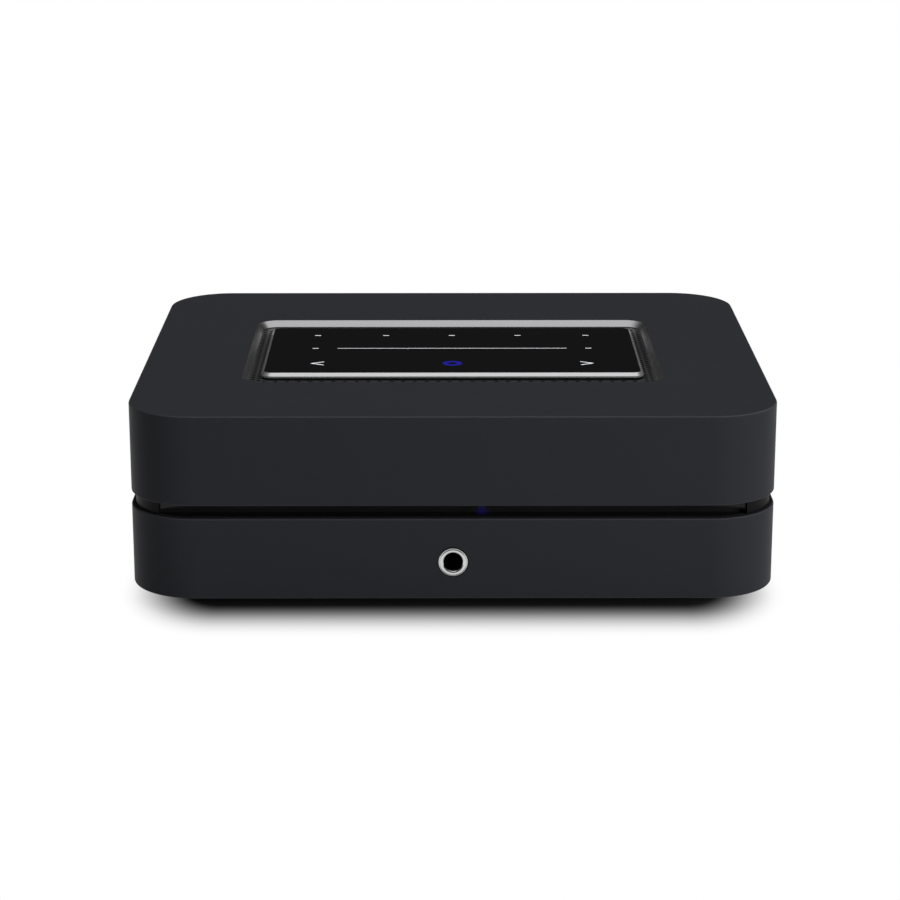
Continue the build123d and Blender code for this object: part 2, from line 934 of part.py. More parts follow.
def mains_inlet():
    mouth = panel_face + inlet_flange_thickness
    inlet = block(around(inlet_x, inlet_width), (mouth - inlet_length, mouth), around(inlet_z, inlet_height))
    flange = Pos(inlet_x, inlet_z) * RectangleRounded(inlet_flange_width, inlet_flange_height,
                                                      inlet_flange_radius)
    inlet += through(flange, panel_face, mouth)
    inlet -= through(inlet_outline(), mouth - inlet_cavity_depth, mouth + overrun)
    for x in inlet_pin_places():
        inlet -= through_rod(inlet_pin_radius, x, inlet_z, mouth - inlet_length - overrun, mouth)
    return inlet


def inlet_pin_places():
    return around(inlet_x, inlet_pin_spacing)


def mains_pins():
    mouth = panel_face + inlet_flange_thickness
    back = mouth - inlet_length - inlet_pin_tail
    return group(through_rod(inlet_pin_radius, x, inlet_z, back, mouth - inlet_pin_recess)
                 for x in inlet_pin_places())


def network_socket():
    back = socket_face - network_length
    cut = (socket_face - network_cavity_depth, socket_face + overrun)
    socket = block(around(network_x, network_width), (back, socket_face),
                   (network_low, network_low + network_height))
    low = network_low + network_floor
    socket -= block(around(network_x, network_cavity_width), cut, (low, low + network_cavity_height))
    socket -= block(around(network_x, latch_width), cut, (low - latch_height, low))
    socket -= block(around(network_x, latch_key_width), cut,
                    (low - latch_height - latch_key_height, low - latch_height))
    return socket


def network_contacts():
    """Gold wires that slope down from the cavity's roof to its back."""
    first = network_x - network_contact_pitch * (network_contact_count - 1) / 2
    back = socket_face - network_cavity_depth
    roof = network_low + network_floor + network_cavity_height
    reach = network_cavity_depth / 2
    drop = network_cavity_height / 3
    thick = network_contact_thickness
    outline = [(back, roof - drop), (back + reach, roof - drop / 2), (back + reach, roof - drop / 2 + thick),
               (back, roof - drop + thick)]
    contacts = []
    for index in range(network_contact_count):
        x = first + index * network_contact_pitch - network_contact_width / 2
        side_plane = Plane(origin=(x, 0, 0), x_dir=(0, 1, 0), z_dir=(1, 0, 0))
        contacts.append(extrude(side_plane * make_face(Polyline(*outline, close=True)), network_contact_width))
    return group(contacts)


def usb_shell():
    low = lower_board_top + usb_stand
    back = socket_face - usb_length
    shell = block(around(usb_x, usb_width), (back, socket_face), (low, low + usb_height))
    shell -= block(around(usb_x, usb_width - 2 * usb_wall), (back + socket_back_wall, socket_face + overrun),
                   (low + usb_wall, low + usb_height - usb_wall))
    for side in (-1, 1):
        foot = block(around(usb_x + side * usb_width / 4, 2 * usb_wall), (back, back + usb_length / 4),
                     (lower_board_top, low))
        shell += foot
    return shell


def hdmi_outline(inset=0.0):
    """The socket's outline, with its two lower corners cut off."""
    half = hdmi_width / 2 - inset
    low = lower_board_top + hdmi_stand + inset
    high = lower_board_top + hdmi_stand + hdmi_height - inset
    points = [(-half, high), (half, high), (half, low + hdmi_corner), (half - hdmi_corner, low),
              (hdmi_corner - half, low), (-half, low + hdmi_corner)]
    return Pos(hdmi_x, 0) * make_face(Polyline(*points, close=True))


def hdmi_shell():
    back = socket_face - hdmi_length
    shell = through(hdmi_outline(), back, socket_face)
    shell -= through(hdmi_outline(hdmi_wall), back + socket_back_wall, socket_face + overrun)
    for side in (-1, 1):
        shell += block(around(hdmi_x + side * hdmi_width / 4, 2 * hdmi_wall), (back, back + hdmi_length / 4),
                       (lower_board_top, lower_board_top + hdmi_stand))
    return shell


def socket_tongues():
    """The contact tongues inside the USB and HDMI sockets."""
    usb_high = lower_board_top + usb_stand + usb_height - usb_wall - usb_tongue_gap
    usb = block(around(usb_x, usb_tongue_width),
                (socket_face - usb_length + socket_back_wall, socket_face - usb_tongue_back),
                (usb_high - usb_tongue_height, usb_high))
    hdmi_middle = lower_board_top + hdmi_stand + hdmi_height / 2
    hdmi = block(around(hdmi_x, hdmi_tongue_width),
                 (socket_face - hdmi_length + socket_back_wall, socket_face - hdmi_tongue_back),
                 around(hdmi_middle, hdmi_tongue_height))
    return group([usb, hdmi])


def minijack(x):
    back = panel_back - minijack_length
    low = lower_board_top
    socket = block(around(x, minijack_width), (back, panel_back), (low, low + minijack_width))
    socket += through_rod(minijack_nose_radius, x, minijack_z, panel_back, socket_face)
    socket -= through_rod(minijack_bore_radius, x, minijack_z, socket_face - minijack_bore_depth,
                          socket_face + overrun)
    return socket


def minijack_sockets():
    return group(minijack(x) for x in (audio_in_x, remote_in_x))


def sub_out_core():
    core = block(around(sub_x, sub_width), (panel_back - sub_length, panel_back),
                 (lower_board_top, lower_board_top + sub_height))
    core += through_rod(sub_shell_bore - seat_gap, sub_x, sub_z, panel_back, panel_face + sub_core_length)
    core -= through_rod(sub_pin_bore, sub_x, sub_z, panel_face + sub_core_length - sub_pin_depth,
                        panel_face + sub_core_length + overrun)
    return core


def sub_out_shell():
    shell = through_rod(sub_shell_radius, sub_x, sub_z, panel_face, panel_face + sub_shell_length)
    shell += through_rod(sub_flange_radius, sub_x, sub_z, panel_face, panel_face + sub_flange_thickness)
    shell -= through_rod(sub_shell_bore, sub_x, sub_z, panel_face - overrun,
                         panel_face + sub_shell_length + overrun)
    return shell


def post_places():
    return [(index - (post_count - 1) / 2) * post_pitch for index in range(post_count)]


def post_housing():
    """The insulating bar outside the panel, with a neck through it for each stud."""
    half = post_pitch * (post_count - 1) / 2 + post_flange_margin
    bar = Pos(0, post_z) * RectangleRounded(2 * half, post_flange_height, surround_radius)
    housing = through(bar, panel_face, housing_face)
    for x in post_places():
        housing += through_rod(post_neck_radius, x, post_z, panel_back, panel_face)
        housing -= through_rod(stud_radius + drop_in_gap, x, post_z, panel_back - overrun,
                               housing_face + overrun)
    return housing


def post_nuts():
    nuts = []
    for x in post_places():
        hexagon = RegularPolygon(nut_flats / 2, 6, major_radius=False) - Circle(stud_radius + drop_in_gap)
        nuts.append(through(Pos(x, post_z) * hexagon, panel_back - nut_height, panel_back))
    return group(nuts)


def post_stud(x):
    """A stud with a banana bore in its end, a cross hole for bare wire and a solder tab."""
    tail = panel_back - stud_tail
    stud = through_rod(stud_radius, x, post_z, tail, stud_tip)
    tip = stud.edges().group_by(Axis.Y)[-1]
    stud = chamfer(tip, stud_tip_bevel)
    stud += through_rod(stud_shoulder_radius, x, post_z, housing_face, shoulder_face)
    stud += block(around(x, tab_width), (tail - tab_length, tail), around(post_z, tab_thickness))
    stud -= through_rod(banana_radius, x, post_z, stud_tip - banana_depth, stud_tip + overrun)
    cross = upright_rod(wire_hole_radius, x, shoulder_face + wire_hole_out,
                        post_z - stud_radius - overrun, post_z + stud_radius + overrun)
    return stud - cross


def post_studs():
    return group(post_stud(x) for x in post_places())


def clamp_washer(x):
    return through(Pos(x, post_z) * (Circle(washer_radius) - Circle(stud_radius + turn_gap)), shoulder_face,
                   washer_face)


def post_cap(x):
    """A fluted cap that turns on the stud, open at its end for a banana plug."""
    cap = through_rod(cap_radius, x, post_z, washer_face, cap_tip)
    cap = chamfer(cap.edges().group_by(Axis.Y)[-1], cap_edge)
    cap -= through_rod(stud_radius + turn_gap, x, post_z, washer_face - overrun, cap_bore_end)
    cap -= through_rod(cap_mouth_radius, x, post_z, cap_bore_end, cap_tip + overrun)
    flutes = Sketch() + [location * Circle(cap_flute_radius)
                         for location in PolarLocations(cap_radius + cap_flute_radius / 2, cap_flute_count)]
    return cap - through(Pos(x, post_z) * flutes, washer_face + cap_edge, cap_tip - 2 * cap_edge)


def main_board():
    board = block((main_left, main_right), (main_front, main_back), (lower_board, lower_board_top))
    for x, y in main_screws():
        board -= upright_rod(board_screw_hole, x, y, lower_board - overrun, lower_board_top + overrun)
    return board


def power_board():
    board = block(around(0, 2 * power_half_width), (power_front, power_back), (lower_board, lower_board_top))
    for x, y in power_screws():
        board -= upright_rod(board_screw_hole, x, y, lower_board - overrun, lower_board_top + overrun)
    return board


def amplifier_board():
    board = block(around(0, 2 * amp_half_width), (amp_front, amp_back), (amp_board, amp_board_top))
    for x, y in amp_screws():
        board -= upright_rod(board_screw_hole, x, y, amp_board - overrun, amp_board_top + overrun)
    return board


def shield_can():
    can = block(around(can_x, can_width), around(can_y, can_depth),
                (lower_board_top, lower_board_top + can_height))
    return can - block(around(can_x, can_width - 2 * can_wall), around(can_y, can_depth - 2 * can_wall),
                       (lower_board_top - overrun, lower_board_top + can_height - can_wall))


def flat_part(x, y, wide, deep, low, tall):
    return block(around(x, wide), around(y, deep), (low, low + tall))


def board_chips():
    """The chips of the main and amplifier boards, and the plugs and connectors."""
    low = lower_board_top
    parts = [flat_part(can_x, can_y, processor_size, processor_size, low, chip_height),
             flat_part(processor_x, processor_y, processor_size, processor_size, low, chip_height),
             flat_part(memory_x, memory_y, memory_width, memory_depth, low, chip_height),
             flat_part(converter_x, converter_y, converter_size, converter_size, low, chip_height),
             flat_part(mains_connector_x, connector_y, connector_width, connector_depth, low, connector_height),
             flat_part(power_connector_x, connector_y, connector_width, connector_depth, low,
                       connector_height)]
    for side in (-1, 1):
        parts.append(flat_part(side * amp_chip_x, amp_chip_y, amp_chip_size, amp_chip_size, amp_board_top,
                               amp_chip_height))
    parts.append(block(around(ribbon_x, ribbon_width), (amp_front, amp_front + ribbon_plug_length),
                       (amp_board_top, amp_board_top + ribbon_plug_height)))
    parts.append(block(around(ribbon_x, ribbon_width), around(ribbon_y, ribbon_plug_length),
                       (touch_board_low - ribbon_plug_height, touch_board_low)))
    return group(parts)


def transformer():
    """Two yokes of ferrite joined by legs, round a wound middle."""
    low = lower_board_top
    yokes = [flat_part(transformer_x, power_middle, transformer_width, transformer_depth, low + z,
                       transformer_core) for z in (0, transformer_height - transformer_core)]
    leg_height = (low + transformer_core, low + transformer_height - transformer_core)
    legs = [block(around(transformer_x + side * (transformer_width - transformer_core / 2) / 2,
                         transformer_core / 2), around(power_middle, transformer_depth), leg_height)
            for side in (-1, 1)]
    winding = upright_rod(winding_radius, transformer_x, power_middle, *leg_height)
    return yokes[0] + yokes[1] + legs[0] + legs[1] + winding


def can_capacitor(radius, tall, x, y, low):
    can = upright_rod(radius, x, y, low, low + tall)
    return chamfer(can.edges().group_by(Axis.Z)[-1], cap_bevel)


def capacitors():
    low = lower_board_top
    cans = [can_capacitor(bulk_cap_radius, bulk_cap_height, bulk_cap_x, power_middle, low)]
    for index in range(2):
        x = can_cap_first_x + index * can_cap_pitch
        for side in (-1, 1):
            cans.append(can_capacitor(can_cap_radius, can_cap_height, x, power_middle + side * can_cap_pitch / 2,
                                      low))
    for side in (-1, 1):
        cans.append(can_capacitor(amp_cap_radius, amp_cap_height, side * amp_cap_x, amp_cap_y, amp_board_top))
    return group(cans)


def coils():
    """The mains choke and the drum coils of the amplifier's output."""
    ring = Pos(choke_x, power_middle) * (Circle(choke_radius) - Circle(choke_bore))
    parts = [upright(ring, lower_board_top, lower_board_top + choke_height)]
    for side in (-1, 1):
        for index in range(2):
            y = amp_middle + (index - 1 / 2) * output_coil_pitch
            x = side * output_coil_x
            low = amp_board_top
            top = low + output_coil_height
            drum = upright_rod(output_coil_core, x, y, low, top)
            drum += upright_rod(output_coil_radius, x, y, low, low + output_coil_flange)
            drum += upright_rod(output_coil_radius, x, y, top - output_coil_flange, top)
            winding = output_coil_radius - output_coil_flange / 2
            drum += upright_rod(winding, x, y, low + output_coil_flange, top - output_coil_flange)
            parts.append(drum)
    return group(parts)


def heat_sink():
    depth_limits = (sink_front, sink_front + sink_depth)
    fin_low = sink_low + sink_base
    sink = block(around(0, 2 * sink_half_width), depth_limits, (sink_low, fin_low))
    pitch = (2 * sink_half_width - sink_fin_thickness) / (sink_fin_count - 1)
    for index in range(sink_fin_count):
        x = -sink_half_width + sink_fin_thickness / 2 + index * pitch
        sink += block(around(x, sink_fin_thickness), depth_limits, (fin_low, sink_top))
    return sink


def chassis_plate():
    """The plate between the halves: it rests on the band's ledge and is clamped by the bosses."""
    plate = upright(case_outline(band_inner + plate_fit), plate_low, plate_top)
    plate -= block((-pocket_half_width - cheek_width - seat_gap, pocket_half_width + cheek_width + seat_gap),
                   (front_y, window_back + seat_gap), (plate_low - overrun, plate_top + overrun))
    plate -= block(around(0, indicator_board_width + 2 * seat_gap),
                   (front_y, indicator_face + board_thickness + seat_gap),
                   (plate_low - overrun, plate_top + overrun))
    plate -= bay_cut(seat_gap)
    for x, y in boss_places():
        plate -= upright_rod(case_screw_hole, x, y, plate_low - overrun, plate_top + overrun)
    plate -= block(around(power_connector_x, lead_slot_width), around(connector_y, lead_slot_depth),
                   (plate_low - overrun, plate_top + overrun))
    for x, y in amp_screws():
        plate += upright_rod(pillar_radius, x, y, plate_top, amp_board)
        plate -= upright_rod(pilot_radius, x, y, plate_low + seat_gap, amp_board + overrun)
    return plate


def ribbon_cables():
    """Two flat ribbons: panel to amplifier board, and headphone board to main board."""
    start = Vector(ribbon_x, ribbon_y, touch_board_low - ribbon_plug_height)
    level = amp_board_top + ribbon_plug_height / 2
    path = FilletPolyline(start, (ribbon_x, ribbon_y, level), (ribbon_x, amp_front, level), radius=ribbon_bend)
    section = Plane(origin=start, x_dir=(1, 0, 0), z_dir=(0, 0, -1)) * Rectangle(ribbon_width, ribbon_thickness)
    panel_ribbon = sweep(section, path)
    jack_back = front_y + tongue_inset + jack_board_length
    jack_ribbon = block(around(0, ribbon_width), (jack_back, main_front + ribbon_plug_length),
                        (jack_board_low + ribbon_thickness, jack_board_low + 2 * ribbon_thickness))
    plug = block(around(0, ribbon_width), (main_front, main_front + ribbon_plug_length),
                 (jack_board_low + 2 * ribbon_thickness, lower_board))
    return group([panel_ribbon, jack_ribbon + plug])


def antennas():
    wall = width / 2 - side_wall
    return group(block(sorted((side * wall, side * (wall - antenna_thickness))),
                       around(antenna_y, antenna_length), (antenna_low, antenna_low + antenna_height))
                 for side in (-1, 1))


def lead(points, radius):
    """A round lead along straight runs joined by the largest arcs that they leave room for."""
    vectors = [Vector(*point) for point in points]
    radii = []
    for before, here, after in zip(vectors, vectors[1:], vectors[2:]):
        arriving = here - before
        leaving = after - here
        shorter = min(arriving.length, leaving.length)
        half_turn = radians(arriving.get_angle(leaving)) / 2
        radii.append(lead_arc_share * shorter / tan(half_turn))
    path = FilletPolyline(*vectors, radius=radii)
    tube = sweep(Plane(origin=vectors[0], z_dir=(vectors[1] - vectors[0]).normalized()) * Circle(radius), path)
    print(f"lead of {path.length:.0f} mm, volume over section times length "
          f"{tube.volume / (pi * radius ** 2 * path.length):.4f}, least radius {min(radii):.1f}")
    return tube


def antenna_leads():
    leads = []
    start_z = antenna_low + antenna_height / 2
    end_z = lower_board_top + can_height / 2
    for side in (-1, 1):
        wall = side * (width / 2 - side_wall - antenna_thickness)
        end = can_x + side * can_width / 2
        out, low, across, near = (wall + share * (end - wall) for share in antenna_run_shares)
        drop = antenna_drop_share * antenna_height
        points = [(wall, antenna_y, start_z), (out, antenna_y, start_z),
                  (low, antenna_y + antenna_sway_share * can_depth, start_z - drop),
                  (across, can_y - antenna_drop_share * can_depth, end_z + drop),
                  (near, can_y, end_z), (end, can_y, end_z)]
        leads.append(lead(points, antenna_lead_radius))
    return group(leads)


def power_leads():
    """The leads from the mains inlet to the power board, and up from it to the amplifier board."""
    leads = []
    inlet_back = panel_face + inlet_flange_thickness - inlet_length - inlet_pin_tail
    level = lower_board_top + connector_height / 2
    for index, x in enumerate(inlet_pin_places()):
        end_x = mains_connector_x + (index - 1 / 2) * lead_pitch * 2
        run = inlet_back - power_back
        straight = mains_run_share * run
        points = [(x, inlet_back, inlet_z), (x, inlet_back - straight, inlet_z),
                  (end_x, power_back + straight, level), (end_x, power_back, level)]
        leads.append(lead(points, mains_lead_radius))
    connector_top = lower_board_top + connector_height
    for index in range(3):
        x = power_connector_x + (index - 1) * lead_pitch
        points = [(x, connector_y, connector_top), (x, connector_y, arch_height),
                  (x, amp_front + arch_reach, arch_height), (x, amp_front + arch_reach, amp_board_top)]
        leads.append(lead(points, lead_radius))
    return group(leads)


def rubber_feet():
    feet = []
    for x, y in mirrored_pairs(foot_x, foot_y):
        foot = upright_rod(foot_radius, x, y, 0, foot_height + foot_seat)
        feet.append(chamfer(foot.edges().group_by(Axis.Z)[0], foot_bevel))
    return group(feet)


def screw(head_radius, head, radius, length):
    """A screw that points down, with the underside of its head at the origin."""
    body = upright_rod(head_radius, 0, 0, 0, head) + upright_rod(radius, 0, 0, -length, 0)
    drive = upright(RegularPolygon(drive_radius, 6), head - drive_depth, head + overrun)
    return body - drive


def case_screws():
    length = plate_top + case_screw_bite - foot_height - case_screw_seat
    shape = Rot(180, 0, 0) * screw(case_screw_head_radius, case_screw_head, case_screw_radius, length)
    return group(Pos(x, y, foot_height + case_screw_seat) * shape for x, y in boss_places())


def small_screws():
    """The like screws of the boards, which point down, and of the rear panel."""
    shape = screw(board_screw_head_radius, board_screw_head, board_screw_radius, board_screw_length)
    screws = []
    for places, top in ((main_screws(), lower_board_top), (power_screws(), lower_board_top),
                        (jack_screws(), jack_board_top), (amp_screws(), amp_board_top)):
        screws += [Pos(x, y, top) * shape for x, y in places]
    screws += [Pos(x, panel_face, z) * Rot(-90, 0, 0) * shape for x, z in panel_screw_places()]
    return group(screws)


pieces = {
    "bottom_shell": bottom_shell(),
    "top_shell": top_shell(),
    "slot_band": slot_band(),
    "front_window": front_window(),
    "status_light_guide": light_guide(),
    "indicator_board": indicator_board(),
    "indicator_lights": indicator_lights(),
    "recess_trim": recess_trim(),
    "vent_grille": vent_grille(),
    "panel_tray": panel_tray(),
    "panel_frame": panel_frame(),
    "touch_glass": touch_glass(),
    "touch_marks": touch_marks(),
    "play_ring": play_ring(),
    "light_mask": light_mask(),
    "touch_board": touch_board(),
    "headphone_ring": headphone_ring(),
    "headphone_socket": headphone_socket(),
    "headphone_contacts": headphone_contacts(),
    "headphone_board": headphone_board(),
    "rear_surround": rear_surround(),
    "rear_panel": rear_panel(),
    "mains_inlet": mains_inlet(),
    "mains_pins": mains_pins(),
    "network_socket": network_socket(),
    "network_contacts": network_contacts(),
    "usb_shell": usb_shell(),
    "hdmi_shell": hdmi_shell(),
    "socket_tongues": socket_tongues(),
    "minijack_sockets": minijack_sockets(),
    "sub_out_core": sub_out_core(),
    "sub_out_shell": sub_out_shell(),
    "post_housing": post_housing(),
    "post_nuts": post_nuts(),
    "post_studs": post_studs(),
    "main_board": main_board(),
    "power_board": power_board(),
    "amplifier_board": amplifier_board(),
    "shield_can": shield_can(),
    "board_chips": board_chips(),
    "power_transformer": transformer(),
    "capacitors": capacitors(),
    "coils": coils(),
    "heat_sink": heat_sink(),
    "chassis_plate": chassis_plate(),
    "ribbon_cables": ribbon_cables(),
    "antennas": antennas(),
    "antenna_leads": antenna_leads(),
    "power_leads": power_leads(),
    "rubber_feet": rubber_feet(),
    "case_screws": case_screws(),
    "small_screws": small_screws(),
}
for number, place in enumerate(post_places(), 1):
    pieces[f"clamp_washer_{number}"] = clamp_washer(place)
    pieces[f"post_cap_{number}"] = post_cap(place)

os.makedirs("parts", exist_ok=True)
for name, piece in pieces.items():
    export_step(piece, f"parts/{name}.step")
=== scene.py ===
import json
import math

import bmesh
import bpy
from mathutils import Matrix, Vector


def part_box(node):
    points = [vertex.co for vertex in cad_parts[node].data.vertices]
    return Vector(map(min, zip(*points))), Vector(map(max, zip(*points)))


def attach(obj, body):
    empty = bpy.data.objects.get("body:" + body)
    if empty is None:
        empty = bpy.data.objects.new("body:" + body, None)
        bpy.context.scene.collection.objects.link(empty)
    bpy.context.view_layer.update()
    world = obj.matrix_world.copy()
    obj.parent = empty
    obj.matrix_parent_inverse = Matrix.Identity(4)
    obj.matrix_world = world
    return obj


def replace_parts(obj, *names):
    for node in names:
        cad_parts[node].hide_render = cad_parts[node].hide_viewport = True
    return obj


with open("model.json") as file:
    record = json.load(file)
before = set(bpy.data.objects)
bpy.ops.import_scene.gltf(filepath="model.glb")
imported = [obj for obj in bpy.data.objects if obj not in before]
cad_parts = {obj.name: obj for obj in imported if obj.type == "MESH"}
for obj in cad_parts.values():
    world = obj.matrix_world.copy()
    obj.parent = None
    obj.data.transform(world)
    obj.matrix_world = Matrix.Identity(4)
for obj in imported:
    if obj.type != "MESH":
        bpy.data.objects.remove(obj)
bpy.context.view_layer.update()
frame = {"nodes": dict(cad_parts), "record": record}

bl_info = {
    "name": "Network Music Streamer",
    "version": (1, 0, 0),
    "blender": (4, 5, 0),
    "location": "View3D > Sidebar > Streamer",
    "description": "Dresses the packed model of a network music streamer and lights it like the photograph",
    "category": "Object",
}

# The moat's opening and the panel in it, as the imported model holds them.
GRILLE_LOW, GRILLE_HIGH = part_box("vent_grille")
TRIM_LOW, TRIM_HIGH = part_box("recess_trim")
PANEL_LOW, PANEL_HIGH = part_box("panel_frame")
MOAT_Y = (TRIM_LOW.y + TRIM_HIGH.y) / 2

# Noise keeps mostly between these values, so a mask made from it is stretched from there.
NOISE_LOW, NOISE_HIGH = 0.3, 0.7
# Specks in paint: their radius in a cell of the grain, how much they show, and how much lighter they are.
SPECK_RADIUS, SPECK_SHARE, SPECK_LIGHTER = 0.12, 0.35, 1.35
DUST_COLOUR = (0.25, 0.245, 0.235)
# Tinned pads of a board: their radius in a cell of their pattern, and their colour.
PAD_RADIUS, PAD_COLOUR = 0.14, (0.55, 0.56, 0.58)
# How far below the middle of its window the glow of the status light sits.
GLOW_DROP = 0.0013

# Fineness of the meshes made here: sides of turned pieces, of the floor and of a vent hole, and the steps
# of a rounded corner.
TURNED_SIDES, FLOOR_SIDES, HOLE_SIDES, CORNER_STEPS = 96, 96, 16, 8
SHARP_ANGLE = math.radians(24)
MERGE_DISTANCE = 0.000001

# The moat: the width of its bevel, and how far the plate goes in under the panel.
MOAT_BEVEL, UNDER_PANEL = 0.0022, 0.0004
# The radii of the plate's outline and of its opening, and the side of the corners that have no holes.
PLATE_CORNER, PANEL_CORNER, FREE_CORNER = 0.014, 0.0036, 0.0029

# The headphone ring: the radii of its sleeve and bore, and how thick its flange is.
RING_SLEEVE, RING_BORE, FLANGE_DEPTH = 0.0047, 0.0032, 0.0006
# Steps in from the flange's edge and back from the front: the outer lip, a groove and the rounded face.
RING_FACE = ((0.0, 0.00022), (0.00012, 0.00005), (0.00024, 0.0), (0.00032, 0.00004), (0.0004, 0.00024),
             (0.0005, 0.00024), (0.00058, 0.0001), (0.00075, 0.00003), (0.0010, 0.0), (0.0013, 0.00003))
# Steps out from the bore and back from the front.
RING_LIP = ((0.0003, 0.00014), (0.00012, 0.0003), (0.0, 0.0006))

POST_COUNT = 4

# The contact strips on the tongue of the USB socket: how many, and their step, width and thickness.
STRIP_COUNT, STRIP_PITCH, STRIP_WIDTH, STRIP_THICKNESS = 4, 0.0024, 0.0013, 0.00012
# How far inside the shell's two ends they stop, and how far below the top of the tongues they lie.
STRIP_NEAR, STRIP_FAR, STRIP_DROP = 0.0032, 0.0026, 0.0019

# The painted shadow on the floor: half sizes of its darkest patch under the case, how much sooner it fades to
# the sides, and its colour there, painted into the floor where the camera sees it.
SHADE_X, SHADE_Y, SHADE_STRETCH, SHADE_COLOUR = 0.0797, 0.065, 1.4, (0.045, 0.045, 0.045)
# The distances from that patch between which the floor's own colour and plain white take over, which gives
# the painted shadow its soft edge.
OWN_COLOUR_FROM, OWN_COLOUR_TO = 0.026, 0.055
WHITE_FROM, WHITE_TO = 0.018, 0.052
FLOOR_RADIUS = 40.0

# The world: heights and colours of its dim and bright ends, and the height of the white strip that glossy
# pieces mirror.
DIM_HEIGHT, DIM_COLOUR = 0.45, (0.016, 0.016, 0.017, 1)
BRIGHT_HEIGHT, BRIGHT_COLOUR = 0.95, (0.35, 0.35, 0.36, 1)
MIRRORED_HEIGHT = 0.015

# Each lamp: its place, what it faces, and its two sizes.
OVERHEAD_LAMP = ((0.15, 0.05, 1.5), (0.0, 0.0, 0.05), (2.2, 2.0))
BEHIND_LAMP = ((0.05, 0.75, 1.45), (0.0, 0.0, 0.05), (0.6, 0.6))
SIDE_LAMP = ((0.80, -0.75, 0.26), (0.06, -0.05, 0.04), (0.5, 0.4))

# The photo's camera, as it was fitted to the edges of the case.
CAMERA_PLACE = (-0.003794, -0.919588, 0.294122)
CAMERA_FORWARD = (0.00319358, 0.96152028, -0.27471539)
CAMERA_LENS, CAMERA_SENSOR = 103.246, 36.0


def colour_setting(name, description, default):
    """A colour that a user can change."""
    return bpy.props.FloatVectorProperty(
        name=name, description=description, default=default, subtype="COLOR", size=3, min=0, max=1)


def length_setting(name, description, default, low):
    """A length in metres that a user can change."""
    return bpy.props.FloatProperty(
        name=name, description=description, default=default, min=low, unit="LENGTH")


def power_setting(name, description, default):
    """The power of a lamp in watts that a user can change."""
    return bpy.props.FloatProperty(
        name=name, description=description, default=default, min=0, unit="POWER")


class StreamerColours(bpy.types.PropertyGroup):
    """Colours of the finishes and of the lit marks"""
    case: colour_setting("Case", "Paint of both shells", (0.0196, 0.0204, 0.0238))
    bevel: colour_setting("Moat bevel", "Metal of the bevel round the moat", (0.34, 0.34, 0.345))
    frame: colour_setting("Panel frame", "Metal of the touch panel's bevelled frame", (0.50, 0.50, 0.505))
    grille: colour_setting("Grille", "Paint of the perforated plate", (0.15, 0.15, 0.154))
    glass: colour_setting("Touch glass", "Colour behind the glass of the panel", (0.0030, 0.0030, 0.0031))
    marks: colour_setting("Marks", "Lit marks of the panel", (0.62, 0.63, 0.66))
    play: colour_setting("Play ring", "Light of the ring round the play mark", (0.012, 0.0098, 0.32))
    live_caps: colour_setting("Live caps", "Colour of the caps of the two live posts", (0.36, 0.012, 0.012))


class StreamerGrille(bpy.types.PropertyGroup):
    """Sizes of the vent grille's rows of holes"""
    hole: length_setting("Hole radius", "Radius of each vent hole", 0.0008, 0.0002)
    pitch_x: length_setting("Pitch across", "Step between holes of one row", 0.00409, 0.001)
    pitch_y: length_setting("Pitch along", "Step between holes of one column", 0.003, 0.001)
    rim: length_setting("Rim", "Plain metal left beside the bevel and beside the panel", 0.0003, 0.0)


class StreamerStage(bpy.types.PropertyGroup):
    """Lights and floor of the stage"""
    overhead: power_setting("Overhead", "Power of the large soft light overhead", 14.0)
    behind: power_setting("Behind", "Power of the smaller light above and behind", 15.0)
    side: power_setting("Side", "Power of the soft light at the right", 9.0)
    floor: colour_setting("Floor", "Colour of the floor", (0.80, 0.80, 0.80))


def group_tree(name, inputs, outputs):
    """A shader group with named value inputs and outputs, and its two end nodes."""
    tree = bpy.data.node_groups.new(name, "ShaderNodeTree")
    for label, value in inputs.items():
        socket = tree.interface.new_socket(name=label, in_out="INPUT", socket_type="NodeSocketFloat")
        socket.default_value = value
    for label in outputs:
        tree.interface.new_socket(name=label, in_out="OUTPUT", socket_type="NodeSocketFloat")
    return tree, tree.nodes.new("NodeGroupInput"), tree.nodes.new("NodeGroupOutput")


def math_node(tree, operation, first, second=None, clamp=False):
    """A Math node fed by sockets or plain numbers; returns its output."""
    node = tree.nodes.new("ShaderNodeMath")
    node.operation = operation
    node.use_clamp = clamp
    for socket, value in zip(node.inputs, (first, second)):
        if value is None:
            continue
        if isinstance(value, (int, float)):
            socket.default_value = value
        else:
            tree.links.new(value, socket)
    return node.outputs[0]


def one_over(tree, size):
    """The texture scale that gives detail of a size."""
    return math_node(tree, "DIVIDE", 1.0, size)


def object_place(tree):
    """The place on the object, in its own coordinates."""
    return tree.nodes.new("ShaderNodeTexCoord").outputs["Object"]


def upward(tree):
    """How far the surface faces up: 1 for level, 0 for upright, -1 for facing down."""
    parts = tree.nodes.new("ShaderNodeSeparateXYZ")
    tree.links.new(tree.nodes.new("ShaderNodeNewGeometry").outputs["Normal"], parts.inputs[0])
    return parts.outputs["Z"]


def noise(tree, vector, scale, detail=3.0, roughness=0.5):
    """A Noise Texture on a vector; scale is a socket or a number. Returns its value output."""
    node = tree.nodes.new("ShaderNodeTexNoise")
    node.inputs["Detail"].default_value = detail
    node.inputs["Roughness"].default_value = roughness
    tree.links.new(vector, node.inputs["Vector"])
    if isinstance(scale, (int, float)):
        node.inputs["Scale"].default_value = scale
    else:
        tree.links.new(scale, node.inputs["Scale"])
    return node.outputs["Fac"]


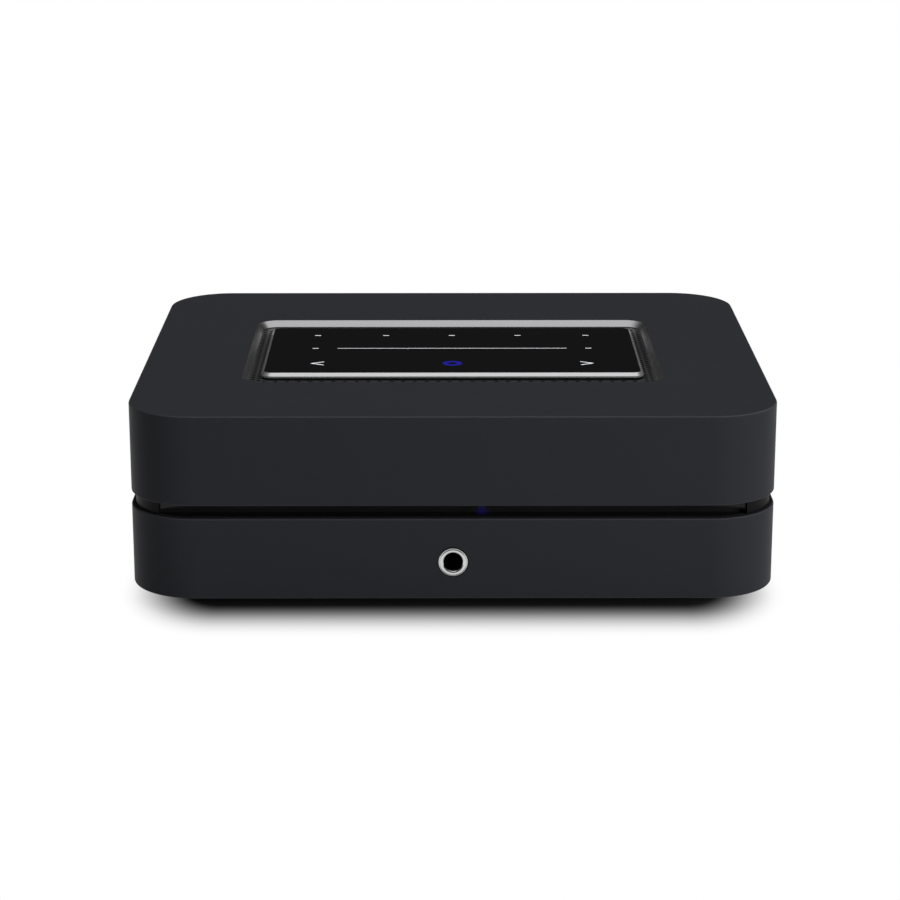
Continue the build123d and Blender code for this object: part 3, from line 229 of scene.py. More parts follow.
def grain_group():
    """Paint and moulded plastic: fine grain, slow blotches and rare specks."""
    tree, start, end = group_tree("Surface grain", {"Grain size": 0.0004, "Blotch size": 0.05},
                                  ["Height", "Blotch", "Speck"])
    place = object_place(tree)
    fine = one_over(tree, start.outputs["Grain size"])
    height = noise(tree, place, fine, detail=2.0, roughness=0.6)
    blotch = noise(tree, place, one_over(tree, start.outputs["Blotch size"]), detail=4.0, roughness=0.55)
    cells = tree.nodes.new("ShaderNodeTexVoronoi")
    tree.links.new(place, cells.inputs["Vector"])
    tree.links.new(fine, cells.inputs["Scale"])
    speck = math_node(tree, "LESS_THAN", cells.outputs["Distance"], SPECK_RADIUS)
    for label, value in (("Height", height), ("Blotch", blotch), ("Speck", speck)):
        tree.links.new(value, end.inputs[label])
    return tree


def brushed_group():
    """Metal drawn along one axis: long fine lines, and slow blotches."""
    tree, start, end = group_tree(
        "Brushed lines", {"Line size": 0.0002, "Stretch": 40.0, "Blotch size": 0.03}, ["Height", "Blotch"])
    place = object_place(tree)
    parts = tree.nodes.new("ShaderNodeSeparateXYZ")
    tree.links.new(place, parts.inputs[0])
    joined = tree.nodes.new("ShaderNodeCombineXYZ")
    drawn = math_node(tree, "DIVIDE", parts.outputs["X"], start.outputs["Stretch"])
    tree.links.new(drawn, joined.inputs["X"])
    tree.links.new(parts.outputs["Y"], joined.inputs["Y"])
    tree.links.new(parts.outputs["Z"], joined.inputs["Z"])
    lines = noise(tree, joined.outputs[0], one_over(tree, start.outputs["Line size"]), detail=2.0)
    blotch = noise(tree, place, one_over(tree, start.outputs["Blotch size"]))
    tree.links.new(lines, end.inputs["Height"])
    tree.links.new(blotch, end.inputs["Blotch"])
    return tree


def edge_highlight_group():
    """A painted highlight on the rounded edges between upright and level faces: a mask broken up by noise
    like wear.
    """
    tree, start, end = group_tree("Edge highlight", {"Patch size": 0.02, "Evenness": 0.75}, ["Mask"])
    facing = upward(tree)
    level = math_node(tree, "MULTIPLY", facing, facing)
    upright = math_node(tree, "SUBTRACT", 1.0, level)
    # The product of the two is a quarter at most, so it is taken four times.
    turning = math_node(tree, "MULTIPLY", math_node(tree, "MULTIPLY", level, upright), 4.0, clamp=True)
    patchy = noise(tree, object_place(tree), one_over(tree, start.outputs["Patch size"]), detail=5.0,
                 roughness=0.6)
    uneven = math_node(tree, "SUBTRACT", 1.0, start.outputs["Evenness"])
    share = math_node(tree, "ADD", start.outputs["Evenness"], math_node(tree, "MULTIPLY", patchy, uneven))
    tree.links.new(math_node(tree, "MULTIPLY", turning, share, clamp=True), end.inputs["Mask"])
    return tree


def glow_group():
    """Light that spills round a ring on a surface: brightest on the ring's line."""
    tree, start, end = group_tree("Ring spill", {"X": 0.0, "Y": 0.0, "Z": 0.0, "Radius": 0.0035,
                                                 "Line": 0.0004, "Reach": 0.001}, ["Mask"])
    middle = tree.nodes.new("ShaderNodeCombineXYZ")
    for label in ("X", "Y", "Z"):
        tree.links.new(start.outputs[label], middle.inputs[label])
    away = tree.nodes.new("ShaderNodeVectorMath")
    away.operation = "DISTANCE"
    tree.links.new(object_place(tree), away.inputs[0])
    tree.links.new(middle.outputs[0], away.inputs[1])
    off = math_node(tree, "SUBTRACT", away.outputs["Value"], start.outputs["Radius"])
    beyond = math_node(tree, "SUBTRACT", math_node(tree, "ABSOLUTE", off), start.outputs["Line"])
    lost = math_node(tree, "DIVIDE", beyond, start.outputs["Reach"], clamp=True)
    left = math_node(tree, "SUBTRACT", 1.0, lost)
    tree.links.new(math_node(tree, "MULTIPLY", left, left), end.inputs["Mask"])
    return tree


def dust_group():
    """Dust that settles on faces that look up: a mask."""
    tree, start, end = group_tree("Settled dust", {"Amount": 0.1, "Size": 0.012}, ["Mask"])
    patches = noise(tree, object_place(tree), one_over(tree, start.outputs["Size"]), detail=6.0,
                    roughness=0.7)
    lying = math_node(tree, "MULTIPLY", math_node(tree, "MAXIMUM", upward(tree), 0.0), patches)
    amount = math_node(tree, "MULTIPLY", lying, start.outputs["Amount"], clamp=True)
    tree.links.new(amount, end.inputs["Mask"])
    return tree


def placed(tree, group, **values):
    """A node group placed in a material's tree with its own values."""
    node = tree.nodes.new("ShaderNodeGroup")
    node.node_tree = bpy.data.node_groups[group]
    for label, value in values.items():
        node.inputs[label.replace("_", " ")].default_value = value
    return node


def new_material(name):
    """A new material, its tree and its Principled shader."""
    material = bpy.data.materials.new(name)
    material.use_nodes = True
    return material, material.node_tree, material.node_tree.nodes["Principled BSDF"]


def mixed(tree, factor, first, second):
    """Two colours mixed by a mask; returns the colour output."""
    node = tree.nodes.new("ShaderNodeMix")
    node.data_type = "RGBA"
    tree.links.new(factor, node.inputs["Factor"])
    for socket, colour in ((node.inputs[6], first), (node.inputs[7], second)):
        if isinstance(colour, tuple):
            socket.default_value = (*colour[:3], 1.0)
        else:
            tree.links.new(colour, socket)
    return node.outputs[2]


def mapped(tree, value, source, target=(0.0, 1.0), interpolation="LINEAR"):
    """A value taken from one pair of limits to another."""
    node = tree.nodes.new("ShaderNodeMapRange")
    node.interpolation_type = interpolation
    tree.links.new(value, node.inputs["Value"])
    for label, limit in zip(("From Min", "From Max", "To Min", "To Max"), (*source, *target)):
        node.inputs[label].default_value = limit
    return node.outputs["Result"]


def ranged(tree, value, low, high):
    """A noise value spread from low to high."""
    return mapped(tree, value, (NOISE_LOW, NOISE_HIGH), (low, high))


def smooth_step(tree, value, low, high):
    """0 below low and 1 above high, with a smooth rise between them."""
    return mapped(tree, value, (low, high), interpolation="SMOOTHSTEP")


def bumped(tree, surface, height, distance):
    """Relief of a depth in metres on a shader's Normal."""
    node = tree.nodes.new("ShaderNodeBump")
    node.inputs["Strength"].default_value = 1.0
    node.inputs["Distance"].default_value = distance
    tree.links.new(height, node.inputs["Height"])
    tree.links.new(node.outputs["Normal"], surface.inputs["Normal"])


def scaled(colour, factor):
    """A colour made lighter or darker, with no part past 1."""
    return tuple(min(1.0, part * factor) for part in colour)


def paint(name, colour, roughness, grain=0.0004, depth=0.00001, spread=0.05, shift=0.08, dust=0.0,
          metallic=0.0, specular=0.5, edge=1.0):
    """Paint or moulded plastic with grain, slow colour shifts, a painted highlight on rounded edges and a
    little dust.
    """
    material, tree, surface = new_material(name)
    skin = placed(tree, "Surface grain", Grain_size=grain, Blotch_size=0.045)
    base = mixed(tree, skin.outputs["Blotch"], scaled(colour, 1 - shift), scaled(colour, 1 + shift))
    specks = math_node(tree, "MULTIPLY", skin.outputs["Speck"], SPECK_SHARE)
    base = mixed(tree, specks, base, scaled(colour, SPECK_LIGHTER))
    # edge lightens the rounded edges: a painted highlight, broken up like wear.
    if edge != 1.0:
        painted_highlight = placed(tree, "Edge highlight", Patch_size=0.03)
        base = mixed(tree, painted_highlight.outputs["Mask"], base, scaled(colour, edge))
    if dust:
        fallen = placed(tree, "Settled dust", Amount=dust, Size=0.01)
        base = mixed(tree, fallen.outputs["Mask"], base, DUST_COLOUR)
    tree.links.new(base, surface.inputs["Base Color"])
    tree.links.new(ranged(tree, skin.outputs["Blotch"], roughness - spread, roughness + spread),
                   surface.inputs["Roughness"])
    surface.inputs["Metallic"].default_value = metallic
    surface.inputs["Specular IOR Level"].default_value = specular
    bumped(tree, surface, skin.outputs["Height"], depth)
    return material


def metal(name, colour, roughness, line=0.0002, stretch=30.0, depth=0.000004, spread=0.04, shift=0.06,
          metallic=1.0):
    """Drawn or plated metal with fine lines and slow blotches of tarnish."""
    material, tree, surface = new_material(name)
    skin = placed(tree, "Brushed lines", Line_size=line, Stretch=stretch, Blotch_size=0.02)
    base = mixed(tree, skin.outputs["Blotch"], scaled(colour, 1 - shift), scaled(colour, 1 + shift))
    tree.links.new(base, surface.inputs["Base Color"])
    tree.links.new(ranged(tree, skin.outputs["Blotch"], roughness - spread, roughness + spread),
                   surface.inputs["Roughness"])
    surface.inputs["Metallic"].default_value = metallic
    bumped(tree, surface, skin.outputs["Height"], depth)
    return material


def spill(material, place, radius, line, reach, colour, strength):
    """Adds light that spills round a lit ring or dot to a material."""
    tree = material.node_tree
    surface = tree.nodes["Principled BSDF"]
    around = placed(tree, "Ring spill", X=place.x, Y=place.y, Z=place.z, Radius=radius, Line=line,
                    Reach=reach)
    tree.links.new(mixed(tree, around.outputs["Mask"], (0.0, 0.0, 0.0), colour),
                   surface.inputs["Emission Color"])
    surface.inputs["Emission Strength"].default_value = strength
    return material


def middle_of(node):
    """The middle of a CAD node's box."""
    low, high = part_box(node)
    return (low + high) / 2


def lit(name, colour, glow, strength):
    """A printed or clear mark that is lit from behind, a little uneven."""
    material, tree, surface = new_material(name)
    skin = placed(tree, "Surface grain", Grain_size=0.0003, Blotch_size=0.004)
    tree.links.new(mixed(tree, skin.outputs["Blotch"], scaled(colour, factor=0.9), colour),
                   surface.inputs["Base Color"])
    tree.links.new(mixed(tree, skin.outputs["Blotch"], scaled(glow, factor=0.85), glow),
                   surface.inputs["Emission Color"])
    surface.inputs["Emission Strength"].default_value = strength
    surface.inputs["Roughness"].default_value = 0.3
    surface.inputs["Specular IOR Level"].default_value = 0.2
    bumped(tree, surface, skin.outputs["Height"], distance=0.000002)
    return material


def board(name):
    """A circuit board: green mask over copper tracks, with tinned pads."""
    material, tree, surface = new_material(name)
    place = object_place(tree)
    tracks = tree.nodes.new("ShaderNodeTexBrick")
    tree.links.new(place, tracks.inputs["Vector"])
    tracks.inputs["Scale"].default_value = 180.0
    tracks.inputs["Mortar Size"].default_value = 0.06
    tracks.inputs["Color1"].default_value = (0.012, 0.075, 0.035, 1)
    tracks.inputs["Color2"].default_value = (0.010, 0.062, 0.030, 1)
    tracks.inputs["Mortar"].default_value = (0.030, 0.130, 0.060, 1)
    pads = tree.nodes.new("ShaderNodeTexVoronoi")
    tree.links.new(place, pads.inputs["Vector"])
    pads.inputs["Scale"].default_value = 260.0
    pad = math_node(tree, "LESS_THAN", pads.outputs["Distance"], PAD_RADIUS)
    tree.links.new(mixed(tree, pad, tracks.outputs["Color"], PAD_COLOUR), surface.inputs["Base Color"])
    tree.links.new(pad, surface.inputs["Metallic"])
    tree.links.new(ranged(tree, noise(tree, place, scale=60.0), low=0.32, high=0.48),
                   surface.inputs["Roughness"])
    bumped(tree, surface, tracks.outputs["Fac"], distance=0.00003)
    return material


def wound(name, colour):
    """Enamelled copper wire wound round Z: fine steps up the coil."""
    material, tree, surface = new_material(name)
    place = object_place(tree)
    turns = tree.nodes.new("ShaderNodeTexWave")
    turns.wave_type = "BANDS"
    turns.bands_direction = "Z"
    turns.inputs["Scale"].default_value = 320.0
    turns.inputs["Distortion"].default_value = 0.6
    tree.links.new(place, turns.inputs["Vector"])
    tree.links.new(mixed(tree, turns.outputs["Fac"], scaled(colour, factor=0.45), colour),
                   surface.inputs["Base Color"])
    surface.inputs["Metallic"].default_value = 0.6
    tree.links.new(ranged(tree, noise(tree, place, scale=90.0), low=0.3, high=0.5),
                   surface.inputs["Roughness"])
    bumped(tree, surface, turns.outputs["Fac"], distance=0.0001)
    return material


def make_finishes(colours):
    """Every material of the object, by the name of the record's slot; panel_bevel is one more."""
    play = tuple(colours.play)
    marks = tuple(colours.marks)
    ring = middle_of("play_ring")
    ring.z = PANEL_HIGH.z
    # The glow of the status light sits where the window meets the sill of its slot.
    status = middle_of("status_light_guide")
    status.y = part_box("status_light_guide")[0].y
    status.z -= GLOW_DROP
    return {
        # edge=2.1 lightens the rounded edges of the shells: a painted highlight.
        "shell": paint("Satin case paint", tuple(colours.case), roughness=0.5, grain=0.00022,
                       depth=0.000006, spread=0.03, shift=0.035, dust=0.012, specular=0.04, edge=2.1),
        "gloss_black": spill(paint("Gloss black window", (0.010, 0.0095, 0.010), roughness=0.15,
                                   grain=0.0006, depth=0.0000006, spread=0.03, shift=0.1, specular=0.2),
                             status, radius=0.0, line=0.0007, reach=0.0024,
                             colour=(0.004, 0.0035, 0.085), strength=0.5),
        "black_plastic": paint("Black moulding", (0.0040, 0.0040, 0.0048), roughness=0.5, grain=0.0005,
                               depth=0.00002, spread=0.06, specular=0.05),
        "trim_metal": metal("Cut moat bevel", tuple(colours.bevel), roughness=0.24, line=0.00012,
                            stretch=60.0, depth=0.0000012, spread=0.03, shift=0.04, metallic=0.92),
        "panel_bevel": metal("Cut panel bevel", tuple(colours.frame), roughness=0.26, line=0.00012,
                             stretch=60.0, depth=0.0000012, spread=0.03, shift=0.04, metallic=0.8),
        "grille": paint("Grille paint", tuple(colours.grille), roughness=0.36, grain=0.0003,
                        depth=0.000008, metallic=0.92, dust=0.02, shift=0.05),
        "glass": spill(paint("Black touch glass", tuple(colours.glass), roughness=0.05, grain=0.0008,
                             depth=0.0000003, spread=0.02, shift=0.12, dust=0.004),
                       ring, radius=0.0024, line=0.0006, reach=0.0005, colour=play, strength=0.8),
        "marks": lit("Panel marks", marks, glow=marks, strength=1.4),
        "blue_light": lit("Play ring light", (0.003, 0.003, 0.02), glow=play, strength=0.85),
        "clear_guide": lit("Status light guide", (0.006, 0.006, 0.02), glow=(0.006, 0.006, 0.10),
                           strength=0.2),
        "steel": metal("Plated steel", (0.52, 0.52, 0.53), roughness=0.30),
        "chrome": metal("Bright socket ring", (0.60, 0.60, 0.605), roughness=0.2, line=0.0003,
                        stretch=4.0, depth=0.000002, shift=0.12),
        "gold": metal("Gold plating", (0.78, 0.55, 0.22), roughness=0.22, line=0.00025, stretch=6.0),
        "circuit_board": board("Circuit board"),
        "aluminium": metal("Mill aluminium", (0.58, 0.59, 0.60), roughness=0.36, stretch=50.0,
                           depth=0.00001),
        "copper": wound("Copper windings", (0.55, 0.22, 0.09)),
        "ribbon": paint("Ribbon film", (0.62, 0.62, 0.58), roughness=0.4, grain=0.001, depth=0.00002),
        "lead": paint("Lead insulation", (0.012, 0.012, 0.013), roughness=0.45, grain=0.0004,
                      depth=0.00001),
        "rubber": paint("Foot rubber", (0.012, 0.012, 0.0125), roughness=0.75, grain=0.0006,
                        depth=0.00004, spread=0.06, dust=0.05),
        # The caps' lighter rounded edges (edge=1.25 and 1.6) are a painted highlight too.
        "red_cap": paint("Red post cap", tuple(colours.live_caps), roughness=0.36, grain=0.0006,
                         depth=0.000006, specular=0.3, edge=1.25),
        "black_cap": paint("Black post cap", (0.010, 0.010, 0.011), roughness=0.36, grain=0.0006,
                           depth=0.000006, specular=0.3, edge=1.6),
        "rear_paint": paint("Rear panel paint", (0.012, 0.012, 0.013), roughness=0.5, grain=0.0004,
                            depth=0.000015, dust=0.01),
        "port_plastic": paint("Socket plastic", (0.010, 0.010, 0.011), roughness=0.35, grain=0.0005,
                              depth=0.00001),
    }


def slot_of(node):
    """The record's material slot of a CAD node."""
    for row in frame["record"]["subparts"]:
        if row["node"] == node:
            return row["material_slot"]
    raise RuntimeError(f"the record has no slot for {node}")


def finish_named(slot):
    """The finish of a slot; the materials are made at the first call."""
    made = bpy.context.scene.get("streamer_finishes")
    if made is None:
        for group in (grain_group, brushed_group, edge_highlight_group, glow_group, dust_group):
            group()
        finishes = make_finishes(bpy.context.scene.streamer_colours)
        bpy.context.scene["streamer_finishes"] = {key: value.name for key, value in finishes.items()}
        made = bpy.context.scene["streamer_finishes"]
    return bpy.data.materials[made[slot]]


def dress(nodes, finish=None):
    """Gives CAD nodes the finish of their slots, or another one by its name."""
    for node in nodes:
        piece = frame["nodes"][node]
        for place in piece.material_slots:
            place.material = finish_named(finish or slot_of(node))


def kept(name, mesh, slot):
    """A finished mesh as a piece of the object that rides on its root body."""
    piece = bpy.data.objects.new(name, mesh)
    bpy.context.scene.collection.objects.link(piece)
    if not mesh.materials:
        mesh.materials.append(finish_named(slot))
    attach(piece, "root")
    return piece


def turned(name, profile, middle):
    """A solid turned round an axis along Y from pairs of radius and place, in closed order."""
    shape = bmesh.new()
    rings = []
    for step in range(TURNED_SIDES):
        angle = 2 * math.pi * step / TURNED_SIDES
        rings.append([shape.verts.new((middle.x + radius * math.cos(angle), y,
                                       middle.z + radius * math.sin(angle))) for radius, y in profile])
    for step in range(TURNED_SIDES):
        this, following = rings[step], rings[(step + 1) % TURNED_SIDES]
        for place in range(len(profile)):
            after = (place + 1) % len(profile)
            shape.faces.new((this[place], this[after], following[after], following[place]))
    bmesh.ops.recalc_face_normals(shape, faces=shape.faces)
    mesh = bpy.data.meshes.new(name)
    shape.to_mesh(mesh)
    shape.free()
    mesh.shade_smooth()
    mesh.set_sharp_from_angle(angle=SHARP_ANGLE)
    return mesh


def geometry_tree(name, inputs):
    """A Geometry Nodes tree with a geometry output and named inputs."""
    tree = bpy.data.node_groups.new(name, "GeometryNodeTree")
    tree.is_modifier = True
    tree.interface.new_socket(name="Geometry", in_out="OUTPUT", socket_type="NodeSocketGeometry")
    for label, kind in inputs.items():
        tree.interface.new_socket(name=label, in_out="INPUT", socket_type=kind)
    return tree, tree.nodes.new("NodeGroupInput"), tree.nodes.new("NodeGroupOutput")


def grown(tree, values):
    """The plain mesh that a Geometry Nodes tree makes with these values."""
    holder = bpy.data.objects.new("holder", bpy.data.meshes.new("holder"))
    bpy.context.scene.collection.objects.link(holder)
    modifier = holder.modifiers.new("Nodes", "NODES")
    modifier.node_group = tree
    for item in tree.interface.items_tree:
        if item.in_out == "INPUT" and item.name in values:
            modifier[item.identifier] = values[item.name]
    view = bpy.context.evaluated_depsgraph_get()
    mesh = bpy.data.meshes.new_from_object(holder.evaluated_get(view))
    holder.modifiers.remove(modifier)
    bpy.data.objects.remove(holder)
    if not mesh.polygons:
        raise RuntimeError(f"{tree.name} made no faces")
    return mesh


def node_in(tree, kind, **inputs):
    """A Geometry Nodes node, with sockets set or linked by name."""
    node = tree.nodes.new(kind)
    for label, value in inputs.items():
        socket = node.inputs[label.replace("_", " ")]
        if isinstance(value, bpy.types.NodeSocket):
            tree.links.new(value, socket)
        else:
            socket.default_value = value
    return node


def finished(tree, geometry, material, end):
    """Ends a Geometry Nodes tree: real instances, then the material."""
    real = node_in(tree, "GeometryNodeRealizeInstances", Geometry=geometry)
    coloured = node_in(tree, "GeometryNodeSetMaterial", Geometry=real.outputs[0], Material=material)
    tree.links.new(coloured.outputs[0], end.inputs[0])


def rounded_outline(tree, wide, deep, radius):
    """A rounded rectangle curve about the origin."""
    shape = node_in(tree, "GeometryNodeCurvePrimitiveQuadrilateral", Width=wide, Height=deep)
    fillet = node_in(tree, "GeometryNodeFilletCurve", Curve=shape.outputs[0], Radius=radius)
    fillet.mode = "POLY"
    fillet.inputs["Count"].default_value = CORNER_STEPS
    return fillet.outputs[0]


def grille_tree():
    """A flat plate with rows of holes, staggered, between a rounded outline and the panel in it."""
    names = ["Width", "Depth", "Corner", "Inner width", "Inner depth", "Inner corner", "Field width",
             "Field depth", "Clear width", "Clear depth", "Field corner", "Hole radius", "Pitch X", "Pitch Y",
             "Thickness"]
    inputs = {name: "NodeSocketFloat" for name in names}
    inputs["Middle"] = "NodeSocketVector"
    inputs["Columns"] = "NodeSocketInt"
    inputs["Rows"] = "NodeSocketInt"
    inputs["Material"] = "NodeSocketMaterial"
    tree, start, end = geometry_tree("Perforated plate", inputs)
    given = start.outputs

    def calc(operation, first, second=None):
        """A Math node of this tree."""
        return math_node(tree, operation, first, second)

    outer = rounded_outline(tree, given["Width"], given["Depth"], given["Corner"])
    inner = rounded_outline(tree, given["Inner width"], given["Inner depth"], given["Inner corner"])

    # A grid at half the steps, alike on both sides: its columns are even in number and its rows are odd.
    column = calc("DIVIDE", given["Pitch X"], 2.0)
    row = calc("DIVIDE", given["Pitch Y"], 2.0)
    points_x = calc("MULTIPLY", given["Columns"], 2.0)
    points_y = calc("ADD", calc("MULTIPLY", given["Rows"], 2.0), 1.0)
    grid = node_in(tree, "GeometryNodeMeshGrid", Vertices_X=points_x, Vertices_Y=points_y,
                   Size_X=calc("MULTIPLY", calc("SUBTRACT", points_x, 1.0), column),
                   Size_Y=calc("MULTIPLY", calc("SUBTRACT", points_y, 1.0), row))
    place = tree.nodes.new("ShaderNodeSeparateXYZ")
    tree.links.new(tree.nodes.new("GeometryNodeInputPosition").outputs[0], place.inputs[0])
    x, y = place.outputs["X"], place.outputs["Y"]

    # Every second place stays plain, which staggers the rows.
    step_x = calc("ROUND", calc("SUBTRACT", calc("DIVIDE", x, column), 0.5))
    step_y = calc("ROUND", calc("DIVIDE", y, row))
    odd = calc("FLOORED_MODULO", calc("ADD", step_x, step_y), 2.0)
    even = calc("LESS_THAN", odd, 0.5)

    # The rim, the part under the panel and the corners stay plain too.
    far_x, far_y = calc("ABSOLUTE", x), calc("ABSOLUTE", y)
    within = calc("MULTIPLY", calc("LESS_THAN", far_x, given["Field width"]),
                  calc("LESS_THAN", far_y, given["Field depth"]))
    beside = calc("MAXIMUM", calc("GREATER_THAN", far_x, given["Clear width"]),
                  calc("GREATER_THAN", far_y, given["Clear depth"]))
    reach_x = calc("SUBTRACT", given["Field width"], given["Field corner"])
    reach_y = calc("SUBTRACT", given["Field depth"], given["Field corner"])
    cornered = calc("MULTIPLY", calc("GREATER_THAN", far_x, reach_x), calc("GREATER_THAN", far_y, reach_y))
    free = calc("MULTIPLY", calc("MULTIPLY", within, beside), calc("SUBTRACT", 1.0, cornered))
    chosen = calc("GREATER_THAN", calc("MULTIPLY", free, even), 0.5)

    points = node_in(tree, "GeometryNodeMeshToPoints", Mesh=grid.outputs["Mesh"], Selection=chosen)
    circle = node_in(tree, "GeometryNodeCurvePrimitiveCircle", Resolution=HOLE_SIDES,
                     Radius=given["Hole radius"])
    holes = node_in(tree, "GeometryNodeInstanceOnPoints", Points=points.outputs[0],
                    Instance=circle.outputs[0])
    round_holes = node_in(tree, "GeometryNodeRealizeInstances", Geometry=holes.outputs[0])
    together = tree.nodes.new("GeometryNodeJoinGeometry")
    for curve in (outer, inner, round_holes.outputs[0]):
        tree.links.new(curve, together.inputs[0])
    sheet = node_in(tree, "GeometryNodeFillCurve", Curve=together.outputs[0])
    under = node_in(tree, "GeometryNodeFlipFaces", Mesh=sheet.outputs[0])
    down = tree.nodes.new("ShaderNodeCombineXYZ")
    tree.links.new(calc("MULTIPLY", given["Thickness"], -1.0), down.inputs["Z"])
    walls = node_in(tree, "GeometryNodeExtrudeMesh", Mesh=under.outputs[0], Offset=down.outputs[0],
                    Offset_Scale=1.0, Individual=False)
    whole = tree.nodes.new("GeometryNodeJoinGeometry")
    for part in (sheet.outputs[0], walls.outputs["Mesh"]):
        tree.links.new(part, whole.inputs[0])
    merged = node_in(tree, "GeometryNodeMergeByDistance", Geometry=whole.outputs[0], Distance=MERGE_DISTANCE)
    lifted = node_in(tree, "GeometryNodeSetPosition", Geometry=merged.outputs[0], Offset=given["Middle"])
    finished(tree, lifted.outputs[0], given["Material"], end)
    return tree


def strip_tree():
    """A row of like contact strips: plain bars at equal steps."""
    tree, start, end = geometry_tree("Contact strips", {
        "Count": "NodeSocketInt", "Pitch": "NodeSocketFloat", "Size": "NodeSocketVector",
        "First": "NodeSocketVector", "Material": "NodeSocketMaterial"})
    given = start.outputs
    step = tree.nodes.new("ShaderNodeCombineXYZ")
    tree.links.new(given["Pitch"], step.inputs["X"])
    line = node_in(tree, "GeometryNodeMeshLine", Count=given["Count"], Start_Location=given["First"],
                   Offset=step.outputs[0])
    bar = node_in(tree, "GeometryNodeMeshCube", Size=given["Size"])
    bars = node_in(tree, "GeometryNodeInstanceOnPoints", Points=line.outputs[0], Instance=bar.outputs[0])
    finished(tree, bars.outputs[0], given["Material"], end)
    return tree


class STREAMER_OT_case(bpy.types.Operator):
    """Paint the shells, the slot between them, the feet and their screws"""
    bl_idname = "streamer.case"
    bl_label = "Case"

    def execute(self, context):
        dress(["bottom_shell", "top_shell", "slot_band", "rubber_feet", "case_screws", "chassis_plate"])
        return {"FINISHED"}


class STREAMER_OT_front(bpy.types.Operator):
    """Finish the window of the slot, its status light and the headphone socket"""
    bl_idname = "streamer.front"
    bl_label = "Front"

    def execute(self, context):
        dress(["front_window", "status_light_guide", "indicator_board", "indicator_lights",
               "headphone_socket", "headphone_contacts", "headphone_board"])
        low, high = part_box("headphone_ring")
        front, back, flange = low.y, high.y, (high.x - low.x) / 2
        profile = [(RING_SLEEVE, back), (RING_SLEEVE, front + FLANGE_DEPTH), (flange, front + FLANGE_DEPTH),
                   *((flange - inward, front + behind) for inward, behind in RING_FACE),
                   *((RING_BORE + outward, front + behind) for outward, behind in RING_LIP),
                   (RING_BORE, back)]
        ring = kept("headphone_trim_ring", turned("headphone_trim_ring", profile, (low + high) / 2), "chrome")
        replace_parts(ring, "headphone_ring")
        return {"FINISHED"}


class STREAMER_OT_panel(bpy.types.Operator):
    """Finish the touch panel, its marks and the bevels round it"""
    bl_idname = "streamer.touch_panel"
    bl_label = "Touch panel"

    def execute(self, context):
        dress(["recess_trim", "panel_tray", "touch_glass", "touch_marks", "play_ring", "light_mask",
               "touch_board"])
        dress(["panel_frame"], "panel_bevel")
        return {"FINISHED"}


class STREAMER_OT_grille(bpy.types.Operator):
    """Make the perforated plate of the moat"""
    bl_idname = "streamer.grille"
    bl_label = "Vent grille"

    def execute(self, context):
        sizes = context.scene.streamer_grille
        panel_x = (PANEL_HIGH.x - PANEL_LOW.x) / 2 - UNDER_PANEL
        panel_y = (PANEL_HIGH.y - PANEL_LOW.y) / 2 - UNDER_PANEL
        edge = sizes.rim + sizes.hole
        half_x = TRIM_HIGH.x - MOAT_BEVEL - edge
        half_y = (TRIM_HIGH.y - TRIM_LOW.y) / 2 - MOAT_BEVEL - edge
        mesh = grown(grille_tree(), {
            "Width": GRILLE_HIGH.x - GRILLE_LOW.x, "Depth": GRILLE_HIGH.y - GRILLE_LOW.y,
            "Corner": PLATE_CORNER,
            "Inner width": 2 * panel_x, "Inner depth": 2 * panel_y, "Inner corner": PANEL_CORNER,
            "Field width": half_x, "Field depth": half_y, "Field corner": FREE_CORNER,
            "Clear width": panel_x + edge, "Clear depth": panel_y + edge,
            "Hole radius": sizes.hole, "Pitch X": sizes.pitch_x, "Pitch Y": sizes.pitch_y,
            "Columns": int(half_x / (sizes.pitch_x / 2)) + 1, "Rows": int(half_y / (sizes.pitch_y / 2)),
            "Thickness": GRILLE_HIGH.z - GRILLE_LOW.z, "Middle": (0.0, MOAT_Y, GRILLE_HIGH.z),
            "Material": finish_named("grille")})
        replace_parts(kept("perforated_grille", mesh, "grille"), "vent_grille")
        return {"FINISHED"}


class STREAMER_OT_rear(bpy.types.Operator):
    """Finish the rear bay and its sockets, with the contacts that show in them"""
    bl_idname = "streamer.rear"
    bl_label = "Rear sockets"

    def execute(self, context):
        dress(["rear_surround", "rear_panel", "mains_inlet", "mains_pins", "network_socket",
               "network_contacts", "usb_shell", "hdmi_shell", "socket_tongues", "minijack_sockets",
               "sub_out_core", "sub_out_shell", "small_screws"])
        low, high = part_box("usb_shell")
        near, far = low.y + STRIP_NEAR, high.y - STRIP_FAR
        first = ((low.x + high.x) / 2 - STRIP_PITCH * (STRIP_COUNT - 1) / 2, (near + far) / 2,
                 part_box("socket_tongues")[1].z - STRIP_DROP)
        mesh = grown(strip_tree(), {
            "Count": STRIP_COUNT, "Pitch": STRIP_PITCH, "Size": (STRIP_WIDTH, far - near, STRIP_THICKNESS),
            "First": first, "Material": finish_named("gold")})
        kept("usb_contacts", mesh, "gold")
        return {"FINISHED"}


class STREAMER_OT_posts(bpy.types.Operator):
    """Finish the binding posts: housing, studs, clamp washers and caps"""
    bl_idname = "streamer.posts"
    bl_label = "Binding posts"

    def execute(self, context):
        dress(["post_housing", "post_nuts", "post_studs"])
        for number in range(1, POST_COUNT + 1):
            dress([f"clamp_washer_{number}", f"post_cap_{number}"])
        return {"FINISHED"}


class STREAMER_OT_inside(bpy.types.Operator):
    """Finish the boards and the other pieces inside the case"""
    bl_idname = "streamer.inside"
    bl_label = "Inside"

    def execute(self, context):
        dress(["main_board", "power_board", "amplifier_board", "shield_can", "board_chips",
               "power_transformer", "capacitors", "coils", "heat_sink", "ribbon_cables", "antennas",
               "antenna_leads", "power_leads"])
        return {"FINISHED"}


def past(tree, value, edge):
    """How far a place lies outside a strip about the middle; 0 inside it."""
    far = math_node(tree, "SUBTRACT", math_node(tree, "ABSOLUTE", value), edge)
    return math_node(tree, "MAXIMUM", far, 0.0)


